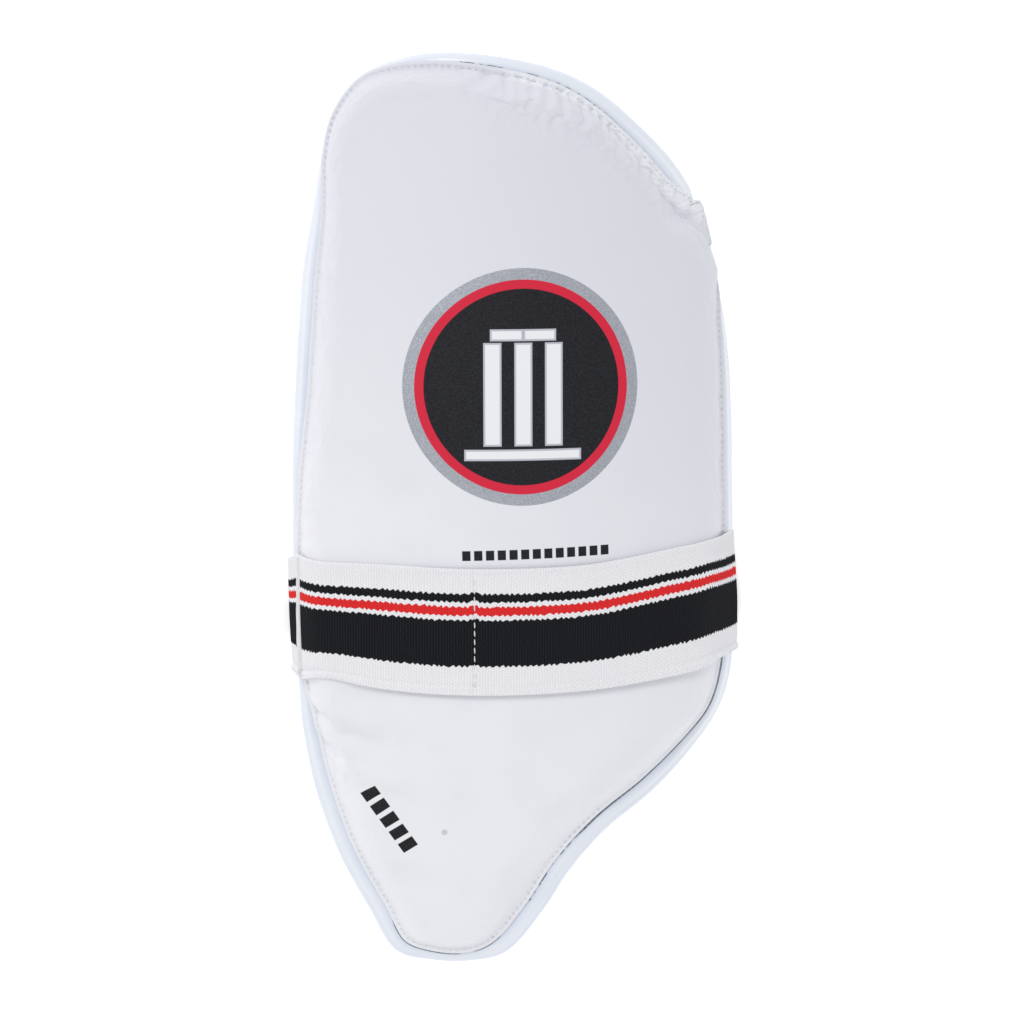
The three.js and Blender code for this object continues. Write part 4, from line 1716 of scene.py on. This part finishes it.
@dataclass(frozen=True)
class CoatedCover:
    """White coated cloth with a fine grain, a printed roundel and two printed rows of bars."""

    white: Colour = (0.85, 0.855, 0.89)
    # Painted highlight that lightens the crumpled strip beside the seam
    painted_highlight: Colour = (0.905, 0.925, 0.97)
    hollow: Colour = (0.70, 0.72, 0.80)
    # Painted shade that darkens the cover towards the top and the right
    painted_shade: Colour = (0.71, 0.72, 0.785)
    silver: Colour = (0.36, 0.38, 0.43)
    red: Colour = (0.66, 0.018, 0.05)
    bright: Colour = (0.50, 0.52, 0.58)
    black: Colour = (0.006, 0.0065, 0.009)
    # Painted sheen: lighter specks on the black print
    sheen_black: Colour = (0.021, 0.022, 0.028)
    grey: Colour = (0.38, 0.39, 0.42)
    soft: float = 0.12
    roundel: tuple[float, float] = (-5.0, 60.5)
    silver_ring: float = 50.0
    red_ring: float = 45.2
    black_field: float = 41.4
    keyline: float = 0.8
    short_bars: BarRow = BarRow(-31.8, -10.6, 1.1, 4.95, (1.75, 2.1), 64.5)
    slanted_bars: BarRow = BarRow(-70.3, -114.6, -54.8, 6.66, (2.3, 3.6), 33.3)
    speck: tuple[float, float] = (-37.7, -133.0)
    speck_radius: float = 1.3

    def bar(self, x: Sock, y: Sock, centre: tuple[float, float], half: tuple[float, float]) -> Sock:
        """Masks an upright rectangle."""
        across = half[0] - abs(x - centre[0])
        return across.least(half[1] - abs(y - centre[1])).eased(-self.soft, self.soft)

    def disc(self, x: Sock, y: Sock, radius: float) -> Sock:
        """Masks a disc round the place where x and y are 0."""
        return (radius - (x * x + y * y).root()).eased(-self.soft, self.soft)

    def wicket(self, x: Sock, y: Sock, wider: float) -> Sock:
        """Masks three stumps, two bails and the ground line.

        Args:
            x: Place across, from the roundel's middle.
            y: Place up, from the roundel's middle.
            wider: How much wider each shape is made on every side.

        Returns:
            The mask.
        """
        shapes = [self.bar(x, y, (place, -3.0), (3.0 + wider, 21.0 + wider)) for place in (-13.0, 0.0, 13.0)]
        shapes += [self.bar(x, y, (place, 22.0), (6.2 + wider, 1.7 + wider)) for place in (-7.0, 7.0)]
        shapes.append(self.bar(x, y, (0.0, -28.5), (24.0 + wider, 1.6 + wider)))
        found = shapes[0]
        for shape in shapes[1:]:
            found = found.most(shape)
        return found

    def dashes(self, x: Sock, y: Sock, row: BarRow) -> Sock:
        """Masks a row of bars.

        Args:
            x: Place across the pad.
            y: Place along the pad.
            row: The row.

        Returns:
            The mask.
        """
        turn = math.radians(row.turn)
        right, up = x - row.x, y - row.y
        along = right * math.cos(turn) + up * math.sin(turn)
        cell = (along / row.pitch).part() * row.pitch - row.pitch / 2
        within = along.eased(-self.soft, self.soft) * (row.reach - along).eased(-self.soft, self.soft)
        over = up * math.cos(turn) - right * math.sin(turn)
        return self.bar(cell, over, (0.0, 0.0), row.half) * within

    def make(self) -> bpy.types.Material:
        """Builds the material."""
        paint = Paint("coated_cover")
        x, y, _ = paint.spot()
        across, up = x - self.roundel[0], y - self.roundel[1]
        silver, red = self.disc(across, up, self.silver_ring), self.disc(across, up, self.red_ring)
        field_mask, wicket = self.disc(across, up, self.black_field), self.wicket(across, up, 0.0)
        keyline = self.wicket(across, up, self.keyline) * field_mask
        ink = self.dashes(x, y, self.short_bars).most(self.dashes(x, y, self.slanted_bars))
        printed = silver.most(ink)
        grain = paint.noise(0.9, 3.0, 0.6)
        cloudy = paint.noise(26.0, 3.0)
        crumple = paint.mark("crumple")
        # Painted shade: the cover is made darker towards the top and the right, standing in for the light
        # falling off there
        painted_shade_share = (y + x * 0.7).eased(-150.0, 190.0)
        base = paint.mix(painted_shade_share, self.white, self.painted_shade)
        base = paint.mix(cloudy.eased(0.35, 0.75) * 0.2, base, self.hollow)
        # Painted highlight: the crumpled strip beside the seam is made lighter, standing in for the glints on
        # its folds
        base = paint.mix(crumple * 0.9, base, self.painted_highlight)
        speck = self.disc(x - self.speck[0], y - self.speck[1], self.speck_radius).eased(0.0, 1.0)
        base = paint.mix(speck * 0.5, base, self.grey)
        pitted = paint.noise(0.55, 2.0).eased(0.42, 0.66)
        base = paint.mix(silver, base, paint.mix(pitted, self.silver, self.bright))
        base = paint.mix(red, base, self.red)
        # Painted sheen: the black print and field are lighter in fine specks, standing in for the sheen of
        # their grain
        base = paint.mix(field_mask.most(ink), base, paint.mix(pitted, self.black, self.sheen_black))
        base = paint.mix(keyline, base, self.bright)
        base = paint.mix(wicket * field_mask, base, self.white)
        metal = silver * (1.0 - red) * 0.55
        rough = paint.blend(printed, 0.46 + cloudy * 0.08 - crumple * 0.2, 0.36 + grain * 0.14)
        height = grain * 0.45 + paint.noise(3.4, 2.0) * 0.3 + printed * 0.5
        height = height + crumple * paint.noise(1.1, 4.0, 0.6) * 4.5
        return paint.surface(
            Base_Color=base, Roughness=rough, Metallic=metal, Normal=paint.bump(height, 0.1),
            Specular_IOR_Level=0.22,
        )


@dataclass(frozen=True)
class GlossTape:
    """Smooth, pale blue coated tape."""

    # The tape's colour along its crown; shade is the painted shade towards its edges and on its back
    colour: Colour = (0.80, 0.84, 0.91)
    shade: Colour = (0.71, 0.775, 0.895)

    def make(self) -> bpy.types.Material:
        """Builds the material."""
        paint = Paint("binding_tape")
        cloudy, fine = paint.noise(18.0, 2.0), paint.noise(1.1, 3.0)
        # Painted highlight and shade: the tape is lighter along its crown and darker towards its edges and on
        # its back, with the crown dimmed in random patches
        patchy = cloudy.eased(0.3, 0.8) * 0.35
        base = paint.mix((paint.mark("crown") - patchy).eased(0.0, 0.95), self.shade, self.colour)
        return paint.surface(
            Base_Color=base, Roughness=0.24 + cloudy * 0.12, Normal=paint.bump(fine * 0.4 + cloudy, 0.06),
            Coat_Weight=0.35, Coat_Roughness=0.18,
        )


@dataclass(frozen=True)
class Lining:
    """Brushed off-white knit that lies against the thigh."""

    colour: Colour = (0.72, 0.73, 0.74)
    shade: Colour = (0.52, 0.53, 0.55)
    cell: float = 1.9

    def make(self) -> bpy.types.Material:
        """Builds the material."""
        paint = Paint("back_lining")
        across, along = paint.weave()
        loops = ((across + along) / self.cell).wave() * ((across - along) / self.cell).wave()
        fuzz = paint.noise(0.7, 4.0, 0.65)
        cells = loops * 0.5 + 0.5
        base = paint.mix(cells.eased(0.1, 0.7) * 0.75 + fuzz * 0.25, self.shade, self.colour)
        return paint.surface(
            Base_Color=base, Roughness=0.86 + fuzz * 0.1, Normal=paint.bump(cells + fuzz * 0.5, 0.32),
            Sheen_Weight=0.25, Sheen_Roughness=0.5,
        )


@dataclass(frozen=True)
class KnittedElastic:
    """White knitted elastic with black and red stripes whose edges are toothed by the knit."""

    white: Colour = (0.94, 0.94, 0.965)
    # Painted shade in the grooves of the knit
    groove: Colour = (0.75, 0.755, 0.81)
    black: Colour = (0.006, 0.0065, 0.009)
    # Painted sheen: the black is lighter on the raised loops of the knit
    sheen_black: Colour = (0.026, 0.028, 0.034)
    red: Colour = (0.80, 0.030, 0.032)
    # Painted shade of the red in the hollows of the knit
    dark_red: Colour = (0.50, 0.014, 0.018)
    rib: float = 1.2
    tooth_pitch: float = 2.55
    tooth: float = 0.42
    edge: float = 0.14
    slant: float = 3.6
    loop: float = 0.85
    upper_black: tuple[float, float] = (13.5, 17.1)
    lower_black: tuple[float, float] = (-14.3, 5.8)
    red_band: tuple[float, float] = (7.75, 11.5)

    def stripe(self, place: Sock, limits: tuple[float, float]) -> Sock:
        """Masks a stripe between two places across the strap."""
        start, end = place - limits[0], limits[1] - place
        return start.eased(-self.edge, self.edge) * end.eased(-self.edge, self.edge)

    def make(self) -> bpy.types.Material:
        """Builds the material."""
        paint = Paint("woven_elastic")
        along, across = paint.weave()
        fuzz, slow = paint.noise(0.45, 4.0, 0.7), paint.noise(7.0, 2.0)
        drift = slow * 0.7 + fuzz * 0.5 - 0.6
        uneven = along / self.tooth_pitch + slow * 2.2
        place = across + uneven.zigzag() * paint.noise(3.0, 1.0) * (2.0 * self.tooth) + drift
        black = self.stripe(place, self.upper_black).most(self.stripe(place, self.lower_black))
        red = self.stripe(place, self.red_band)
        ribs = (along / self.rib).wave() * 0.5 + 0.5
        slant = (across / self.slant).zigzag() * 0.9
        rows = (across / self.loop + (along / self.rib).zigzag() * 0.25).wave()
        knit = ((along + slant) / self.rib * 0.5).wave() * rows
        cells = knit * 0.5 + 0.5
        depth = cells * 0.55 + ribs * 0.25 + fuzz * 0.35
        # Painted shade: the white and the red are made darker where the knit lies low
        base = paint.mix(depth.eased(0.2, 0.72), self.groove, self.white)
        base = paint.mix(red, base, paint.mix(depth.eased(0.1, 0.6), self.dark_red, self.red))
        # Painted sheen: the black is made lighter where the knit stands high
        base = paint.mix(black, base, paint.mix(depth.eased(0.45, 1.0), self.black, self.sheen_black))
        return paint.surface(
            Base_Color=base, Roughness=0.82 + fuzz * 0.12, Normal=paint.bump(depth, 0.3),
            Specular_IOR_Level=0.14,
        )


@dataclass(frozen=True)
class SewingThread:
    """Twisted thread of one colour."""

    name: str
    colour: Colour
    twist: float = 0.5

    def make(self) -> bpy.types.Material:
        """Builds the material."""
        paint = Paint(self.name)
        x, y, z = paint.spot()
        strands = ((x + y * 0.7 + z * 1.3) / self.twist).wave() * 0.5 + 0.5
        # Painted shade: the thread is made darker between its strands
        dark = tuple(part * 0.78 for part in self.colour)
        return paint.surface(
            Base_Color=paint.mix(strands, dark, self.colour), Roughness=0.5 + strands * 0.15,
            Normal=paint.bump(strands, 0.05), Sheen_Weight=0.1,
        )


@dataclass(frozen=True)
class GapShadowPaint:
    """Dark finish of the painted shadow strip, which shows as a thin line beside the tape."""

    colour: Colour = (0.13, 0.15, 0.19)
    pale_shade: Colour = (0.36, 0.41, 0.52)

    def make(self) -> bpy.types.Material:
        """Builds the material."""
        paint = Paint("underlay_edge")
        fine = paint.noise(0.8, 3.0)
        return paint.surface(
            Base_Color=paint.mix(fine.eased(0.4, 0.8), self.colour, self.pale_shade), Roughness=0.7 + fine * 0.2,
            Normal=paint.bump(fine, 0.12),
        )


@dataclass(frozen=True)
class Lamp:
    """A square soft light: its name, place and width in metres, power in watts and colour."""

    name: str
    place: tuple[float, float, float]
    size: float
    power: float
    colour: Colour


@dataclass(frozen=True)
class Studio:
    """White room with a soft key light, seen through a long lens from a little above."""

    yaw: float = 9.0
    pitch: float = 9.0
    distance: float = 1.25
    lens: float = 101.87
    target: tuple[float, float, float] = (-0.00552, 0.00344, 0.030)
    lit: tuple[float, float, float] = (0.0, 0.0, 0.03)
    world: float = 0.74
    key: Lamp = Lamp("key", (-0.55, 0.75, 1.3), 0.5, 5.7, (1.0, 0.99, 0.985))
    low: Lamp = Lamp("low", (0.35, -1.0, 0.7), 0.8, 1.4, (0.97, 0.98, 1.0))
    reach: float = 4.0
    drop: float = 0.0004

    def back(self) -> Vector:
        """Gives the direction from the pad to the camera."""
        yaw, pitch = math.radians(self.yaw), math.radians(self.pitch)
        return Vector((-math.sin(yaw) * math.cos(pitch), math.sin(pitch), math.cos(yaw) * math.cos(pitch)))

    def camera(self) -> None:
        """Sets up the camera of the photograph."""
        data = bpy.data.cameras.new("camera")
        data.lens, data.sensor_width = self.lens, 36.0
        data.clip_start, data.clip_end = 0.01, 20.0
        made = link("camera", data)
        back = self.back()
        up = (Vector((0.0, 1.0, 0.0)) - back * back.y).normalized()
        turn = np.array([up.cross(back), up, back]).T
        made.location = Vector(self.target) + back * self.distance
        made.rotation_mode = "QUATERNION"
        made.rotation_quaternion = Matrix(turn.tolist()).to_quaternion()
        bpy.context.scene.camera = made

    def hang(self, lamp: Lamp) -> None:
        """Hangs a light that faces the pad.

        Args:
            lamp: The light.
        """
        data = bpy.data.lights.new(lamp.name, "AREA")
        data.shape, data.size, data.energy, data.color = "SQUARE", lamp.size, lamp.power, lamp.colour
        made = link(lamp.name, data)
        made.location = lamp.place
        made.rotation_mode = "QUATERNION"
        made.rotation_quaternion = (Vector(self.lit) - Vector(lamp.place)).to_track_quat("-Z", "Y")

    def floor(self) -> None:
        """Lays the white floor."""
        paint = Paint("white_floor")
        soft = paint.noise(60.0, 2.0)
        shader = paint.surface(
            Base_Color=paint.mix(soft, (0.93, 0.93, 0.935), (0.95, 0.95, 0.955)), Roughness=0.9,
            Emission_Color=(1.0, 1.0, 1.0), Emission_Strength=0.35,
        )
        data = bpy.data.meshes.new("floor")
        corners = [(x * self.reach, y * self.reach, 0) for x, y in ((-1, -1), (1, -1), (1, 1), (-1, 1))]
        data.from_pydata(corners, [], [(0, 1, 2, 3)])
        data.materials.append(shader)
        made = link("floor", data)
        made.location.z = -self.drop

    def build(self) -> None:
        """Sets up the room, its lights and the camera."""
        scene = bpy.context.scene
        scene.view_settings.view_transform = "Standard"
        world = bpy.data.worlds.new("white_room")
        world.use_nodes = True
        shade = world.node_tree.nodes["Background"].inputs
        shade["Color"].default_value, shade["Strength"].default_value = (1.0, 1.0, 1.0, 1.0), self.world
        scene.world = world
        self.hang(self.key)
        self.hang(self.low)
        self.floor()
        self.camera()


class ThighPad:
    """The whole pad: it builds each piece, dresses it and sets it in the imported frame."""

    def __init__(self) -> None:
        """Finds where the rim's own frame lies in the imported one."""
        self.shell = Shell()
        self.panel = FrontPanel(self.shell)
        self.tape = EdgeTape(self.shell)
        self.strap = Strap(self.shell)
        stations = self.shell.stations(self.tape.levels)
        rim = stations.point + stations.outward * self.tape.radius
        low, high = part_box("edge_binding")
        packed = np.array((low + high) / 2 / MM)
        shift = packed - (rim.min(axis=0) + rim.max(axis=0)) / 2
        self.shop = Workshop(np.array([shift[0], shift[1], 0.0]))
        LOG.info("the rim's frame is moved by %.3f, %.3f mm", *shift[:2])

    def dress_body(self) -> None:
        """Makes the panel, the pad behind it, the tape and their seams."""
        shop = self.shop
        white = SewingThread("white_thread", (0.82, 0.84, 0.88)).make()
        panel = shop.place(self.panel.build(shop), CoatedCover().make(), Slot.COVER, "front_panel")
        shop.place(self.panel.sew(shop, Thread()), white, Slot.COVER)
        shop.place(self.tape.build(shop), GlossTape().make(), Slot.TAPE, "edge_binding")
        shop.place(self.tape.sew(shop, Thread()), white, Slot.TAPE)
        # A painted shadow strip along the gap between the panel's edge and the tape
        shop.place(GapShadowStrip(self.shell).build(shop), GapShadowPaint().make(), Slot.COVER)
        pad = shop.place(BasePad(self.shell).build(shop), Lining().make(), Slot.LINING, "base_pad")

    def dress_strap(self) -> None:
        """Makes the strap round the padding, with its seams."""
        shop = self.shop
        cloud = np.vstack([self.panel.top.reshape(-1, 3), self.tape.skin.reshape(-1, 3)])
        shop.place(self.strap.build(shop, cloud), KnittedElastic().make(), Slot.ELASTIC, "strap")
        thread = SewingThread("strap_thread", (0.92, 0.925, 0.94)).make()
        shop.place(self.strap.sew_joint(shop), thread, Slot.ELASTIC)
        shop.place(self.strap.sew_tack(shop), thread, Slot.ELASTIC)

    def build(self) -> None:
        """Makes every piece."""
        self.dress_body()
        self.dress_strap()


def main() -> None:
    """Builds the scene."""
    logging.basicConfig(level=logging.INFO, format="%(message)s")
    ThighPad().build()
    Studio().build()


if __name__ == "__main__":
    main()
